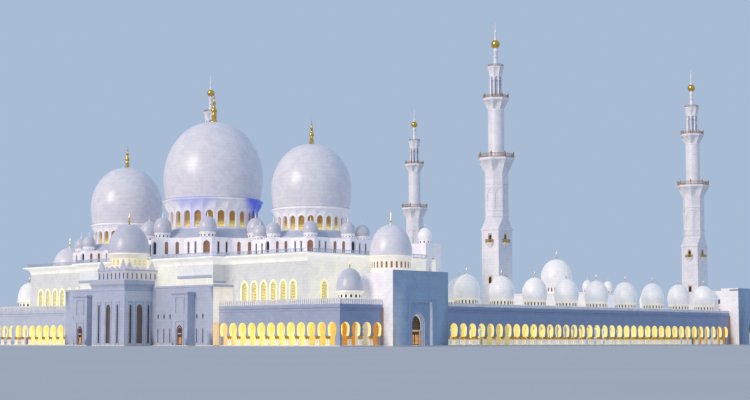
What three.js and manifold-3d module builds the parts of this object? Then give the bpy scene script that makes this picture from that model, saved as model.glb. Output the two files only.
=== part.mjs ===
// A large white mosque: a prayer hall under three big domes, arcaded galleries round a court,
// portal blocks at the galleries' ends and four minarets at the court's corners.
// Everything is drawn in metres of the real building, with its front toward -X, and the
// group at the end turns that into the millimetres of a 1:10 scale model.

import * as THREE from 'three';
import { mergeVertices } from 'three/addons/utils/BufferGeometryUtils.js';
import Module from 'manifold-3d';

const wasm = await Module();
wasm.setup();

// Scale of the model: millimetres of model for each real metre, at 1:10
const MM_PER_METRE = 100;

// Joint left between pieces that bear on each other, 0.3 mm on the model
const SEAT = 0.003;

// Levels above the ground
const FLOOR_TOP = 0.3;
const FOOT = FLOOR_TOP + SEAT;
const GALLERY_CEILING = 10.0;
const GALLERY_ROOF = 10.9;
const HALL_CEILING = 25.7;
const HALL_ROOF = 26.9;

// Prayer hall in plan: its long wall stands toward -X and steps out at the middle
const HALL_WEST = -83.1;
const HALL_EAST = -24.8;
const HALL_HALF = 69.6;
const HALL_WALL = 1.5;
const STEP_WEST = -88.0;
const STEP_HALF = 33.75;

// Square towers on the hall's two corners toward the court
const TOWER_SIDE = 7.3;
const TOWER_WALL = 1.2;
const TOWER_TOP = 31.9;

// The lower mass of masonry in front of the stepped wall, with two door boxes
const MASS_WEST = -90.9;
const MASS_HALF = 37.4;
const MASS_TOP = 18.3;
const BOX_WEST = -93.7;
const BOX_MIDDLE = 25.3;
const BOX_HALF = 3.6;
const BOX_TOP = 16.2;
const BOX_WALL = 0.6;
const BOX_DOOR_WIDTH = 1.8;
const BOX_DOOR_TOP = 3.6;
const BOX_ARCH_FOOT = 3.9;
const BOX_ARCH_TOP = 5.7;

// The bay on the hall's axis and its dome
const BAY_WEST = -101.4;
const BAY_HALF = 8.2;
const BAY_TOP = 17.4;
const BAY_PARAPET_TOP = 20.2;
const BAY_CROWN_TOP = 23.4;
const BAY_DOME_X = -93.8;
const BAY_DOME_RADIUS = 6.45;
const BAY_DRUM = 5.7;
const BAY_WALL = 1.2;
const BAY_WINDOW_TOP = 12.8;

// Big domes: all three stand on one line across the hall
const DOME_X = -59.5;
const SIDE_DOME_Y = 46.64;

// Galleries: a bay of 17.2 m carries one dome and has four arches
const BAY = 17.2;
const ARCH_PITCH = BAY / 4;
const ARCH_WIDTH = 3.3;
const ARCH_TOP = 6.7;
const GALLERY_OUTER = 88.0;
const GALLERY_INNER = 72.0;
const GALLERY_AXIS = 80.2;
const ARCADE_WALL = 1.0;
const COURT_EAST = 120.0;
const GALLERY_EAST = 137.2;
const EAST_AXIS = 128.8;

// Wings at the hall's two front corners
const WING_WEST = -88.5;
const WING_ARCHES = 12;
const WING_DOME_X = DOME_X - BAY;

// Portal blocks
const PORTAL_HALF = 11.9;
const PORTAL_FRONT = 92.0;
const PORTAL_SCREEN_BACK = 88.5;
const PORTAL_TOP = 21.6;
const PORTAL_REAR_TOP = 20.8;
const PORTAL_WALL = 1.2;
const PORTAL_EAST_X = 129.3;
const CORNER_SCREEN_BACK = 84.8;
const CORNER_TOP = 21.1;
const CORNER_REAR_TOP = 20.2;
const CORNER_WINDOW_Y = -83.8;
const RECESS_WIDTH = 9.8;
const RECESS_TOP = 12.7;
const RECESS_DEPTH = 1.0;
const NICHE_WIDTH = 5.4;
const NICHE_TOP = 9.8;
const NICHE_DEPTH = 1.2;
const DOOR_WIDTH = 4.2;
const DOOR_TOP = 4.35;
const FANLIGHT_FOOT = 4.7;
const FANLIGHT_TOP = 8.8;
const FANLIGHT_DEPTH = 0.5;
const PASSAGE_WIDTH = 6.0;
const PASSAGE_TOP = 8.4;

// Door leaves: clear of the frame by 9 mm on the model, and hung on short pivots
const LEAF_THICK = 0.16;
const LEAF_GAP = 0.09;
const LEAF_MEETING = 0.03;
const PIVOT_INSET = 0.17;
const PIVOT_RADIUS = 0.06;

// East gate
const GATE_HALF = 23.5;
const GATE_TOP = 21.1;
const GATE_OVER = 0.8;
const GATE_TURRET_IN = 2.2;
const GATE_TURRET_Y = 21.0;

// Minarets: four alike, at the court's corners
const MINARET_Y = 72.05;
const MINARET_SIDE = 7.0;

// Joining and cutting of closed shapes

function closed(geometry) {
  geometry.deleteAttribute('normal');
  geometry.deleteAttribute('uv');
  return mergeVertices(geometry, 1e-5);
}

function toSolid(geometry) {
  const merged = closed(geometry);
  return new wasm.Manifold(new wasm.Mesh({
    numProp: 3,
    vertProperties: new Float32Array(merged.attributes.position.array),
    triVerts: new Uint32Array(merged.index.array),
  }));
}

function toGeometry(solid) {
  const mesh = solid.getMesh();
  const geometry = new THREE.BufferGeometry();
  geometry.setAttribute('position', new THREE.BufferAttribute(new Float32Array(mesh.vertProperties), 3));
  geometry.setIndex(new THREE.BufferAttribute(new Uint32Array(mesh.triVerts), 1));
  return geometry;
}

function join(...geometries) {
  return toGeometry(geometries.map(toSolid).reduce((all, one) => all.add(one)));
}

function cut(geometry, ...cutters) {
  return toGeometry(cutters.map(toSolid).reduce((left, one) => left.subtract(one), toSolid(geometry)));
}

function mirrored(geometry) {
  const copy = closed(geometry.clone());
  copy.scale(1, -1, 1);
  const index = copy.index.array;
  for (let i = 0; i < index.length; i += 3) {
    const first = index[i];
    index[i] = index[i + 1];
    index[i + 1] = first;
  }
  return copy;
}

// Plain shapes

function block(x0, x1, y0, y1, z0, z1) {
  const geometry = new THREE.BoxGeometry(x1 - x0, y1 - y0, z1 - z0);
  geometry.translate((x0 + x1) / 2, (y0 + y1) / 2, (z0 + z1) / 2);
  return geometry;
}

function plate(points, z0, z1) {
  const shape = new THREE.Shape(points.map(([x, y]) => new THREE.Vector2(x, y)));
  const geometry = new THREE.ExtrudeGeometry(shape, { depth: z1 - z0, bevelEnabled: false });
  geometry.translate(0, 0, z0);
  return geometry;
}

function turned(profile, segments, phase = 0) {
  const points = profile.map(([radius, height]) => new THREE.Vector2(radius, height));
  const geometry = new THREE.LatheGeometry(points, segments);
  geometry.rotateX(Math.PI / 2);
  geometry.rotateZ(phase);
  return geometry;
}

function prism(radius, z0, z1, sides, phase = 0) {
  return turned([[0, z0], [radius, z0], [radius, z1], [0, z1]], sides, phase);
}

// Pointed arch: two straight jambs and two arcs that meet at the crown
function archPoints(width, top, steps) {
  const half = width / 2;
  const spring = top - width * 0.72;
  const points = [[-half, spring]];
  for (let i = 1; i < 2 * steps; i += 1) {
    const t = i / steps - 1;
    const rise = Math.sin((1 - Math.abs(t)) * Math.PI / 2) ** 0.8;
    const reach = Math.cos((1 - Math.abs(t)) * Math.PI / 2) ** 0.9;
    points.push([Math.sign(t) * half * reach, spring + (top - spring) * rise]);
  }
  points.push([half, spring]);
  return points;
}

// A long hole of arch form, its foot at z0, that runs along Y from y0 to y1
function archTunnel(x, width, z0, top, y0, y1, steps = 1) {
  const points = [[-width / 2, 0], ...archPoints(width, top - z0, steps), [width / 2, 0]];
  const shape = new THREE.Shape(points.map(([u, v]) => new THREE.Vector2(u, v)));
  const geometry = new THREE.ExtrudeGeometry(shape, { depth: y1 - y0, bevelEnabled: false });
  geometry.rotateX(Math.PI / 2);
  geometry.translate(x, y1, z0);
  return geometry;
}

// A wall along X from x0 to x1 with a row of arches open to the floor
function arcade(x0, x1, y0, y1, centres, steps = 1) {
  const points = [[x0, FOOT]];
  const arch = archPoints(ARCH_WIDTH, ARCH_TOP, steps);
  for (const centre of centres) {
    points.push([centre - ARCH_WIDTH / 2, FOOT]);
    for (const [u, v] of arch) points.push([centre + u, v]);
    points.push([centre + ARCH_WIDTH / 2, FOOT]);
  }
  points.push([x1, FOOT], [x1, GALLERY_CEILING], [x0, GALLERY_CEILING]);
  const shape = new THREE.Shape(points.map(([u, v]) => new THREE.Vector2(u, v)));
  const geometry = new THREE.ExtrudeGeometry(shape, { depth: y1 - y0, bevelEnabled: false });
  geometry.rotateX(Math.PI / 2);
  geometry.translate(0, y1, 0);
  return geometry;
}

// The same wall along Y: drawn along X first, then turned a quarter
function arcadeAlongY(y0, y1, x0, x1, centres, steps = 1) {
  const geometry = arcade(y0, y1, -x1, -x0, centres, steps);
  geometry.rotateZ(Math.PI / 2);
  return geometry;
}

function spread(middle, count, pitch) {
  return Array.from({ length: count }, (_, i) => middle + (i - (count - 1) / 2) * pitch);
}

// Dome outline: a short pinched foot, the widest ring, then a crown drawn to a slight point
function domeOutline(foot, radius, bottom, widest, top, rings) {
  const points = [[foot, bottom]];
  for (let i = 0; i <= rings; i += 1) {
    const angle = (i / rings) * Math.PI / 2;
    const height = widest + (top - widest) * Math.sin(angle) ** 1.06;
    points.push([i === rings ? 0 : radius * Math.cos(angle) ** 0.94, height]);
  }
  return points;
}

// Small dome on its drum, one solid that ends in a slim finial
function smallDome(x, y, z0, radius, bottom, top, tip, segments, rings, drum = radius * 0.94) {
  const outline = domeOutline(drum, radius, bottom, bottom + (top - bottom) * 0.3, top, rings);
  outline.pop();
  const profile = [[0, z0], [drum, z0], ...outline, [radius * 0.08, top], [0, tip]];
  const geometry = turned(profile, segments);
  geometry.translate(x, y, 0);
  return geometry;
}

// Meshes

const marble = { color: 0xe9e7ee, roughness: 0.45, metalness: 0 };
const paleMarble = { color: 0xf2f0f4, roughness: 0.4, metalness: 0 };
const gold = { color: 0xd9a441, roughness: 0.3, metalness: 0.9 };
const bronze = { color: 0x7a5230, roughness: 0.4, metalness: 0.7 };
const mosque = new THREE.Group();

function add(name, geometry, look = marble) {
  const mesh = new THREE.Mesh(closed(geometry), new THREE.MeshStandardMaterial(look));
  mesh.name = name;
  mosque.add(mesh);
}

function addPair(south, north, geometry, look = marble) {
  add(south, geometry, look);
  add(north, mirrored(geometry), look);
}

function minaretSpace(x) {
  const half = MINARET_SIDE / 2 + SEAT;
  return block(x - half, x + half, -MINARET_Y - half, -MINARET_Y + half, -1, HALL_ROOF);
}

// Floors: thin slabs under the hall and the galleries, no wider than the walls on them
const SLAB_BOTTOM = 0;
const hallOutline = [
  [BAY_WEST, -BAY_HALF], [MASS_WEST, -BAY_HALF], [MASS_WEST, -MASS_HALF], [WING_WEST, -MASS_HALF],
  [WING_WEST, -HALL_HALF], [0, -HALL_HALF], [0, HALL_HALF], [WING_WEST, HALL_HALF],
  [WING_WEST, MASS_HALF], [MASS_WEST, MASS_HALF], [MASS_WEST, BAY_HALF], [BAY_WEST, BAY_HALF],
];
const boxFloor = block(
  BOX_WEST, MASS_WEST, -BOX_MIDDLE - BOX_HALF, -BOX_MIDDLE + BOX_HALF, SLAB_BOTTOM, FLOOR_TOP,
);
add('hall_floor', cut(
  join(plate(hallOutline, SLAB_BOTTOM, FLOOR_TOP), boxFloor, mirrored(boxFloor)),
  minaretSpace(0), mirrored(minaretSpace(0)),
));
const galleryFloor = join(
  block(WING_WEST, GALLERY_EAST, -GALLERY_OUTER, -GALLERY_INNER, SLAB_BOTTOM, FLOOR_TOP),
  block(WING_WEST, 0, -GALLERY_INNER, -HALL_HALF, SLAB_BOTTOM, FLOOR_TOP),
  block(DOME_X - PORTAL_HALF, DOME_X + PORTAL_HALF, -PORTAL_FRONT, -GALLERY_OUTER, SLAB_BOTTOM, FLOOR_TOP),
  block(
    PORTAL_EAST_X - PORTAL_HALF, PORTAL_EAST_X + PORTAL_HALF, -PORTAL_FRONT, -GALLERY_INNER,
    SLAB_BOTTOM, FLOOR_TOP,
  ),
);
addPair('south_gallery_floor', 'north_gallery_floor', cut(
  galleryFloor, minaretSpace(0), minaretSpace(COURT_EAST),
));
add('east_gallery_floor', cut(
  block(COURT_EAST, GALLERY_EAST, -GALLERY_INNER, GALLERY_INNER, SLAB_BOTTOM, FLOOR_TOP),
  minaretSpace(COURT_EAST), mirrored(minaretSpace(COURT_EAST)),
));

// Hall walls: the long front wall is one stepped strip, with six lit windows on each side
const WINDOW_FOOT = 12.5;
const WINDOW_TOP = 19.0;
const WINDOW_WIDTH = 2.2;
const FRONT_WINDOWS = spread(-52.95, 6, 4.22);
const stepOut = STEP_WEST + HALL_WALL;
const stepIn = HALL_WEST + HALL_WALL;
const frontStrip = plate([
  [HALL_WEST, -HALL_HALF], [stepIn, -HALL_HALF], [stepIn, -STEP_HALF + HALL_WALL],
  [stepOut, -STEP_HALF + HALL_WALL], [stepOut, STEP_HALF - HALL_WALL], [stepIn, STEP_HALF - HALL_WALL],
  [stepIn, HALL_HALF], [HALL_WEST, HALL_HALF], [HALL_WEST, STEP_HALF],
  [STEP_WEST, STEP_HALF], [STEP_WEST, -STEP_HALF], [HALL_WEST, -STEP_HALF],
], FOOT, HALL_CEILING);
const windowHoles = FRONT_WINDOWS.map((y) => {
  const hole = archTunnel(0, WINDOW_WIDTH, WINDOW_FOOT, WINDOW_TOP, -1, HALL_WALL + 1);
  hole.rotateZ(-Math.PI / 2);
  hole.translate(HALL_WEST, y, 0);
  return hole;
});
const lobbyDoor = block(
  STEP_WEST - 1, stepOut + 1, -BOX_MIDDLE - BOX_DOOR_WIDTH / 2, -BOX_MIDDLE + BOX_DOOR_WIDTH / 2,
  FLOOR_TOP - 1, BOX_DOOR_TOP,
);
add('front_wall', cut(
  frontStrip, ...windowHoles, ...windowHoles.map(mirrored), lobbyDoor, mirrored(lobbyDoor),
));

const SIDE_WINDOWS = [-76.4, -43.4, -39.0, -34.6];
const sideWall = block(stepIn + SEAT, HALL_EAST, -HALL_HALF, -HALL_HALF + HALL_WALL, FOOT, HALL_CEILING);
const sideHoles = SIDE_WINDOWS.map((x) => archTunnel(
  x, WINDOW_WIDTH, WINDOW_FOOT, WINDOW_TOP, -HALL_HALF - 1, -HALL_HALF + HALL_WALL + 1,
));
const COURT_DOOR_WIDTH = 5.0;
const COURT_DOOR_TOP = 8.8;
const portalDoor = archTunnel(
  DOME_X, COURT_DOOR_WIDTH, FLOOR_TOP - 1, COURT_DOOR_TOP, -HALL_HALF - 1, -HALL_HALF + HALL_WALL + 1,
);
addPair('south_hall_wall', 'north_hall_wall', cut(sideWall, ...sideHoles, portalDoor));

const COURT_DOORS = spread(0, 7, BAY);
const courtHalf = HALL_HALF - HALL_WALL - SEAT;
const courtWall = block(HALL_EAST - HALL_WALL, HALL_EAST, -courtHalf, courtHalf, FOOT, HALL_CEILING);
const courtDoors = COURT_DOORS.map((y) => {
  const hole = archTunnel(0, COURT_DOOR_WIDTH, FLOOR_TOP - 1, COURT_DOOR_TOP, -1, HALL_WALL + 1);
  hole.rotateZ(-Math.PI / 2);
  hole.translate(HALL_EAST - HALL_WALL, y, 0);
  return hole;
});
add('court_wall', cut(courtWall, ...courtDoors));

// Hall roof: one slab with a square opening under each big dome
const MAIN_OPENING = 13.5;
const SIDE_OPENING = 9.6;
const roofOutline = [
  [HALL_WEST, -HALL_HALF], [HALL_EAST, -HALL_HALF], [HALL_EAST, HALL_HALF], [HALL_WEST, HALL_HALF],
  [HALL_WEST, STEP_HALF], [STEP_WEST, STEP_HALF], [STEP_WEST, -STEP_HALF], [HALL_WEST, -STEP_HALF],
];
function opening(y, half) {
  return block(DOME_X - half, DOME_X + half, y - half, y + half, HALL_CEILING - 1, HALL_ROOF + 1);
}
const towerWest = HALL_EAST - TOWER_SIDE;
const towerInner = -HALL_HALF + TOWER_SIDE;
const towerX = HALL_EAST - TOWER_SIDE / 2;
const towerY = -HALL_HALF + TOWER_SIDE / 2;
const tower = join(
  block(towerWest, HALL_EAST, -HALL_HALF, towerInner, HALL_ROOF - 0.1, TOWER_TOP),
  smallDome(towerX, towerY, TOWER_TOP - 0.1, 2.25, 33.4, 37.0, 38.4, 8, 3),
);
const towerRoom = block(
  towerWest + TOWER_WALL, HALL_EAST - TOWER_WALL, -HALL_HALF + TOWER_WALL, towerInner - TOWER_WALL,
  HALL_CEILING - 1, TOWER_TOP - 1,
);
add('hall_roof', cut(
  join(plate(roofOutline, HALL_CEILING + SEAT, HALL_ROOF), tower, mirrored(tower)),
  opening(0, MAIN_OPENING), opening(-SIDE_DOME_Y, SIDE_OPENING), opening(SIDE_DOME_Y, SIDE_OPENING),
  towerRoom, mirrored(towerRoom),
));

// Big domes. Each stands on a clerestory of star plan with a small turret dome on each point,
// a leaded slope, and a drum with twenty-four arched windows.
const EIGHTH = Math.PI / 4;
const CLERESTORY_WALL = 1.4;
const CLERESTORY_SILL = 1.8;
const CLERESTORY_LINTEL = 1.1;
const DECK_THICK = 0.4;
const WINDOWS_IN_DRUM = 24;
const main = {
  y: 0, reach: 24.3, front: 1.7, starWindows: [9.8, 13.2], starWindow: 1.1, frontWindow: 2.1,
  corner: 21.0, ringTop: 34.2, slopeTop: 37.5, drum: 14.8, drumTop: 47.0,
  cornice: 16.3, bottom: 47.5, radius: 16.4, widest: 55.2, top: 73.9, tip: 84.6,
  windowWidth: 2.4, windowFoot: 38.1, windowTop: 43.5, wall: 1.4,
  smallRadius: 2.9, smallBottom: 35.9, smallTop: 40.9,
};
const side = {
  y: -SIDE_DOME_Y, reach: 18.3, front: 1.3, starWindows: [7.4, 9.9], starWindow: 0.85, frontWindow: 1.7,
  corner: 15.8, ringTop: 32.4, slopeTop: 34.8, drum: 11.2, drumTop: 41.7,
  cornice: 12.1, bottom: 42.1, radius: 12.45, widest: 48.5, top: 62.4, tip: 70.5,
  windowWidth: 2.0, windowFoot: 35.2, windowTop: 39.4, wall: 1.2,
  smallRadius: 2.3, smallBottom: 33.7, smallTop: 37.3,
};

// How far the star's inner corners lie from its middle
function notchRadius(reach, front) {
  return (reach + front) * Math.SQRT1_2 / Math.cos(EIGHTH / 2);
}

// Two squares, one turned by an eighth, with their eight points cut off square
function starOutline(reach, front) {
  const points = [];
  const notch = notchRadius(reach, front);
  for (let k = 0; k < 8; k += 1) {
    const angle = k * EIGHTH;
    for (const across of [-front, front]) {
      points.push([
        reach * Math.cos(angle) - across * Math.sin(angle),
        reach * Math.sin(angle) + across * Math.cos(angle),
      ]);
    }
    const between = angle + EIGHTH / 2;
    points.push([notch * Math.cos(between), notch * Math.sin(between)]);
  }
  return points;
}

function clerestory(d) {
  const foot = HALL_ROOF + SEAT;
  const narrowing = CLERESTORY_WALL * Math.tan(EIGHTH / 2);
  let ring = toSolid(plate(starOutline(d.reach, d.front), foot, d.ringTop));
  ring = ring.subtract(toSolid(plate(
    starOutline(d.reach - CLERESTORY_WALL, d.front - narrowing), foot - 1, d.ringTop + 1,
  )));
  const sides = d.starWindows.flatMap((u) => [[-u, d.starWindow], [u, d.starWindow]]);
  for (let k = 0; k < 4; k += 1) {
    for (const [offset, width] of [[0, d.frontWindow], ...sides]) {
      const window = archTunnel(
        offset, width, HALL_ROOF + CLERESTORY_SILL, d.ringTop - CLERESTORY_LINTEL, -d.reach - 1, d.reach + 1,
      );
      window.rotateZ(k * EIGHTH);
      ring = ring.subtract(toSolid(window));
    }
  }
  const geometry = toGeometry(ring);
  geometry.translate(DOME_X, d.y, 0);
  return geometry;
}

// The star's flat deck, a leaded slope up to the drum and a small dome over each point
function slopeAndTurrets(d) {
  const hollow = d.drum - d.wall;
  const edge = notchRadius(d.reach, d.front) * 0.98;
  const foot = d.ringTop + SEAT;
  const slope = turned([
    [hollow, foot], [edge, foot], [d.drum + 0.4, d.slopeTop], [hollow, d.slopeTop], [hollow, foot],
  ], WINDOWS_IN_DRUM, EIGHTH / 6);
  const deck = cut(
    plate(starOutline(d.reach, d.front), foot, foot + DECK_THICK),
    prism(d.drum, foot - 1, foot + 1, 8, EIGHTH / 2),
  );
  let solid = toSolid(slope).add(toSolid(deck));
  for (let k = 0; k < 8; k += 1) {
    const x = d.corner * Math.cos(k * EIGHTH);
    const y = d.corner * Math.sin(k * EIGHTH);
    solid = solid.add(toSolid(smallDome(
      x, y, foot, d.smallRadius, d.smallBottom, d.smallTop, d.smallTop + 2.0, 6, 2,
    )));
  }
  const geometry = toGeometry(solid);
  geometry.translate(DOME_X, d.y, 0);
  return geometry;
}

function drum(d) {
  const inner = d.drum - d.wall;
  const ring = turned([
    [inner, d.slopeTop], [d.drum, d.slopeTop], [d.drum, d.windowTop + 0.5], [d.cornice, d.drumTop],
    [d.cornice, d.bottom], [inner, d.bottom], [inner, d.slopeTop],
  ], WINDOWS_IN_DRUM, EIGHTH / 6);
  let solid = toSolid(ring);
  for (let k = 0; k < WINDOWS_IN_DRUM / 2; k += 1) {
    const window = archTunnel(0, d.windowWidth, d.windowFoot, d.windowTop, -d.drum - 3, d.drum + 3, 1);
    window.rotateZ(k * Math.PI / 12);
    solid = solid.subtract(toSolid(window));
  }
  const geometry = toGeometry(solid);
  geometry.translate(DOME_X, d.y, 0);
  return geometry;
}

function bigDome(d) {
  const foot = d.radius * 0.93;
  const bottom = d.bottom + SEAT;
  const outline = domeOutline(foot, d.radius, bottom, d.widest, d.top, 6);
  const inner = domeOutline(foot - d.wall, d.radius - d.wall, bottom, d.widest, d.top - d.wall, 3).reverse();
  const profile = [...outline, ...inner, [foot, bottom]];
  const geometry = turned(profile, WINDOWS_IN_DRUM, EIGHTH / 6);
  geometry.translate(DOME_X, d.y, 0);
  return geometry;
}

function finial(d) {
  const foot = d.top - 0.8;
  const span = d.tip - foot;
  const unit = d.radius / 16.4;
  const profile = [
    [0, foot], [1.15 * unit, foot], [0.7 * unit, foot + 0.2 * span], [0.35 * unit, foot + 0.35 * span],
    [0.8 * unit, foot + 0.47 * span], [0.2 * unit, foot + 0.58 * span], [0, d.tip],
  ];
  const geometry = turned(profile, 8);
  geometry.translate(DOME_X, d.y, 0);
  return geometry;
}

add('main_clerestory', clerestory(main));
add('main_drum', join(slopeAndTurrets(main), drum(main)));
add('main_dome', join(bigDome(main), finial(main)), paleMarble);
addPair('south_clerestory', 'north_clerestory', clerestory(side));
addPair('south_drum', 'north_drum', join(slopeAndTurrets(side), drum(side)));
addPair('south_dome', 'north_dome', join(bigDome(side), finial(side)), paleMarble);

// Front mass: a low block against the stepped wall, hollow behind its slits, with a door box on
// each side of the bay. A doorway in the stepped wall leads on into the hall.
const SLIT_TOP = 5.3;
const SMALL_FOOT = 8.3;
const SMALL_TOP = 9.7;
const SLITS = [11.4, 14.3, 17.2, 29.9, 32.7];
function frontHole(x, y, width, z0, z1) {
  return block(x - 1, x + 1, y - width / 2, y + width / 2, z0, z1);
}
const massParts = join(
  block(MASS_WEST, STEP_WEST - SEAT, BAY_HALF, MASS_HALF, FOOT, MASS_TOP),
  block(STEP_WEST - 0.1, HALL_WEST - SEAT, STEP_HALF + SEAT, MASS_HALF, FOOT, MASS_TOP),
  block(BOX_WEST, MASS_WEST + 0.1, BOX_MIDDLE - BOX_HALF, BOX_MIDDLE + BOX_HALF, FOOT, BOX_TOP),
);
const massRoom = join(
  block(
    MASS_WEST + BOX_WALL, STEP_WEST - BOX_WALL, BAY_HALF + BOX_WALL, MASS_HALF - BOX_WALL,
    FLOOR_TOP - 1, MASS_TOP - 1,
  ),
  block(
    BOX_WEST + BOX_WALL, MASS_WEST + 1, BOX_MIDDLE - BOX_HALF + BOX_WALL, BOX_MIDDLE + BOX_HALF - BOX_WALL,
    FLOOR_TOP - 1, BOX_TOP - 1,
  ),
);
const slits = SLITS.flatMap((y) => [
  frontHole(MASS_WEST, y, 0.45, FLOOR_TOP + 0.6, SLIT_TOP),
  frontHole(MASS_WEST, y, 0.6, SMALL_FOOT, SMALL_TOP),
]);
const boxDoorway = frontHole(BOX_WEST, BOX_MIDDLE, BOX_DOOR_WIDTH, FLOOR_TOP - 1, BOX_DOOR_TOP);
const lobbyDoorway = frontHole(STEP_WEST, BOX_MIDDLE, BOX_DOOR_WIDTH, FLOOR_TOP - 1, BOX_DOOR_TOP);
const boxArch = archTunnel(0, BOX_DOOR_WIDTH, BOX_ARCH_FOOT, BOX_ARCH_TOP, -1, BOX_WALL / 2, 2);
boxArch.rotateZ(-Math.PI / 2);
boxArch.translate(BOX_WEST, BOX_MIDDLE, 0);
const northMass = cut(massParts, massRoom, ...slits, boxDoorway, lobbyDoorway, boxArch);
add('north_front_mass', northMass);
add('south_front_mass', mirrored(northMass));

// One leaf of a door, drawn from its pivot along +X, with a pin below and above on the axis
function leaf(width, top) {
  return join(
    block(
      LEAF_GAP - PIVOT_INSET, width, -LEAF_THICK / 2, LEAF_THICK / 2, FLOOR_TOP + LEAF_GAP, top - LEAF_GAP,
    ),
    prism(PIVOT_RADIUS, FLOOR_TOP + SEAT, top - SEAT, 8),
  );
}
const boxLeaf = leaf(BOX_DOOR_WIDTH - PIVOT_INSET - LEAF_GAP, BOX_DOOR_TOP);
boxLeaf.rotateZ(Math.PI / 2);
boxLeaf.translate(BOX_WEST + BOX_WALL / 2, -BOX_MIDDLE - BOX_DOOR_WIDTH / 2 + PIVOT_INSET, 0);
addPair('south_box_door', 'north_box_door', boxLeaf, bronze);

// The bay on the axis: tall windows, a flared parapet, an arched crown and its own dome
const bayOuter = block(BAY_WEST, MASS_WEST - SEAT, -BAY_HALF, BAY_HALF, FOOT, BAY_TOP);
const bayInner = block(
  BAY_WEST + BAY_WALL, MASS_WEST + 1, -BAY_HALF + BAY_WALL, BAY_HALF - BAY_WALL, FLOOR_TOP - 1, BAY_TOP - 1.0,
);
const bayHoles = [[-4.7, 0.8], [0, 2.2], [4.7, 0.8]].map(([y, width]) => {
  const hole = archTunnel(0, width, FLOOR_TOP + 0.5, BAY_WINDOW_TOP, -1, 2.4);
  hole.rotateZ(-Math.PI / 2);
  hole.translate(BAY_WEST, y, 0);
  return hole;
});
const bayMiddle = (BAY_WEST + MASS_WEST) / 2;
const baySideHoles = [[-2.9, 0.8], [0.6, 2.2], [4.0, 0.8]].map(([x, width]) => archTunnel(
  bayMiddle + x, width, FLOOR_TOP + 0.5, BAY_WINDOW_TOP, -BAY_HALF - 1, BAY_HALF + 1,
));
add('mihrab_bay', cut(bayOuter, bayInner, ...bayHoles, ...baySideHoles));
add('mihrab_parapet', cut(
  join(
    block(
      BAY_WEST - 0.7, MASS_WEST + 0.6, -BAY_HALF - 0.7, BAY_HALF + 0.7, MASS_TOP + SEAT, BAY_PARAPET_TOP,
    ),
    block(BAY_WEST, MASS_WEST - SEAT, -BAY_HALF, BAY_HALF, BAY_TOP + SEAT, MASS_TOP + 0.1),
    block(
      BAY_WEST + 0.6, STEP_WEST - SEAT, -BAY_HALF + 0.6, BAY_HALF - 0.6,
      MASS_TOP + SEAT, BAY_CROWN_TOP,
    ),
  ),
  block(BAY_WEST + 1.6, MASS_WEST - 1, -BAY_HALF + 1.6, BAY_HALF - 1.6, BAY_TOP - 1, BAY_CROWN_TOP - 1),
));
add('mihrab_dome', smallDome(
  BAY_DOME_X, 0, BAY_CROWN_TOP + SEAT, BAY_DOME_RADIUS, 28.7, 37.9, 41.7, 12, 4, BAY_DRUM,
), paleMarble);

// Wings: an arcaded gallery that turns the hall's front corner, with one dome
const portalWest = DOME_X - PORTAL_HALF;
const wingWidth = portalWest - WING_WEST;
const wingFront = arcade(
  WING_WEST, portalWest - SEAT, -GALLERY_OUTER, -GALLERY_OUTER + ARCADE_WALL,
  spread((WING_WEST + portalWest) / 2, 4, wingWidth / 4),
);
addPair('south_wing_front', 'north_wing_front', wingFront);
const wingCorner = -GALLERY_OUTER + ARCADE_WALL;
const wingLength = -MASS_HALF - wingCorner;
const wingSide = arcadeAlongY(
  wingCorner + SEAT, -MASS_HALF - SEAT, WING_WEST, WING_WEST + ARCADE_WALL,
  spread((wingCorner - MASS_HALF) / 2, WING_ARCHES, wingLength / WING_ARCHES),
);
addPair('south_wing_side', 'north_wing_side', wingSide);
function galleryDome(x, y) {
  return smallDome(x, y, GALLERY_ROOF - 0.1, 4.2, 14.9, 22.1, 24.4, 8, 3);
}
const wingRoof = join(
  plate([
    [WING_WEST, -GALLERY_OUTER], [portalWest - SEAT, -GALLERY_OUTER], [portalWest - SEAT, -HALL_HALF - SEAT],
    [HALL_WEST - SEAT, -HALL_HALF - SEAT], [HALL_WEST - SEAT, -MASS_HALF - SEAT],
    [WING_WEST, -MASS_HALF - SEAT],
  ], GALLERY_CEILING + SEAT, GALLERY_ROOF),
  galleryDome(WING_DOME_X, -GALLERY_AXIS),
);
addPair('south_wing_roof', 'north_wing_roof', wingRoof);

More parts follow.
